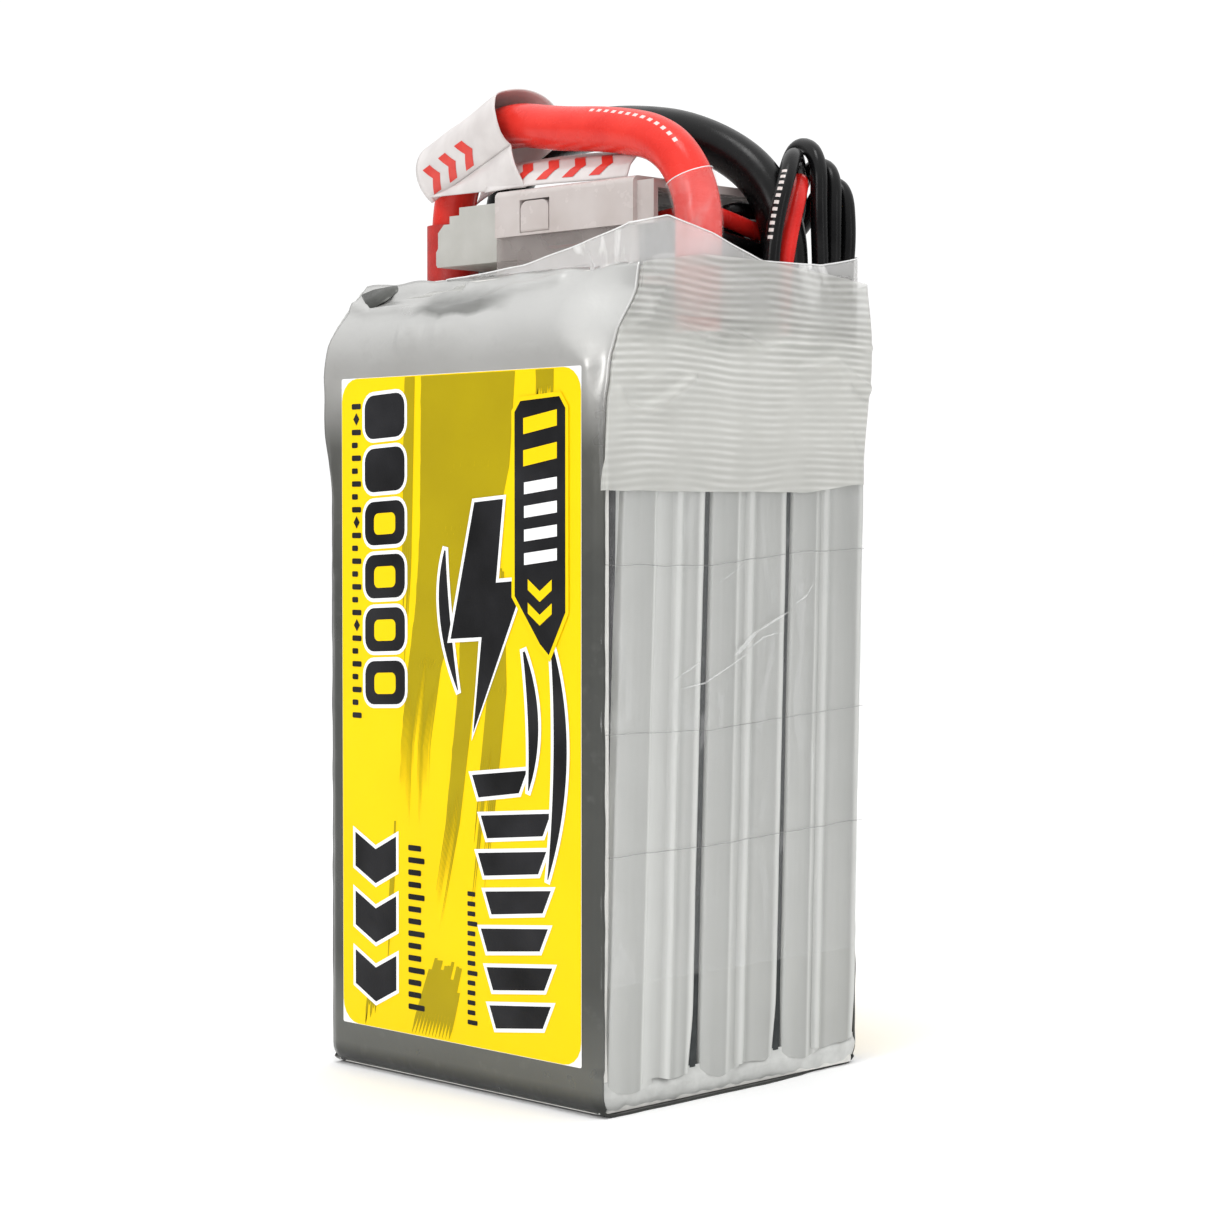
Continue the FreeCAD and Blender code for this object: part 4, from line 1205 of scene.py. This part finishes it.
# ---- floor and light -------------------------------------
def stage_floor():
    mesh = bpy.data.meshes.new("floor")
    size = 6.0
    mesh.from_pydata([(-size, -size, 0), (size, -size, 0), (size, size, 0), (-size, size, 0)], [],
                     [(0, 1, 2, 3)])
    mesh.materials.append(mottled("floor_paper", (246, 246, 246), (249, 249, 249), 60.0,
                                  (0.7, 0.8)))
    floor = bpy.data.objects.new("floor", mesh)
    scene.collection.objects.link(floor)


LIGHT_AIM = Vector((0, 0, 0.05))


def area_light(name, place, size, power):
    """A lamp aimed at the middle of the pack."""
    data = bpy.data.lights.new(name, "AREA")
    data.shape = "RECTANGLE"
    data.size, data.size_y = size
    data.energy = power
    light = bpy.data.objects.new(name, data)
    scene.collection.objects.link(light)
    light.location = Vector(place)
    light.rotation_euler = (LIGHT_AIM - Vector(place)).to_track_quat("-Z", "Y").to_euler()


stage_floor()


def studio_world():
    """A white backdrop behind the object, and softer light all round it."""
    world = bpy.data.worlds.new("studio")
    world.use_nodes = True
    new, link = world.node_tree.nodes.new, world.node_tree.links.new
    backdrop = world.node_tree.nodes["Background"]
    backdrop.inputs["Color"].default_value = (1, 1, 1, 1)
    backdrop.inputs["Strength"].default_value = 1.05
    room = new("ShaderNodeBackground")
    parts = new("ShaderNodeSeparateXYZ")
    shade = new("ShaderNodeValToRGB")
    chosen = new("ShaderNodeMixShader")
    link(new("ShaderNodeTexCoord").outputs["Generated"], parts.inputs[0])
    link(parts.outputs["Z"], shade.inputs[0])
    low, high = shade.color_ramp.elements
    low.color = (0.34, 0.34, 0.34, 1)
    high.position = 0.8
    high.color = (1.35, 1.35, 1.35, 1)
    link(shade.outputs[0], room.inputs["Color"])
    link(new("ShaderNodeLightPath").outputs["Is Camera Ray"], chosen.inputs[0])
    link(room.outputs[0], chosen.inputs[1])
    link(backdrop.outputs[0], chosen.inputs[2])
    link(chosen.outputs[0], world.node_tree.nodes["World Output"].inputs["Surface"])
    scene.world = world


studio_world()
scene.view_settings.view_transform = "Standard"
area_light("key", (0.12, -0.75, 0.40), (0.25, 0.30), 1.3)
area_light("right", (0.70, 0.10, 0.20), (0.06, 0.5), 0.35)
area_light("top", (0.10, -0.15, 0.8), (0.22, 0.22), 1.2)
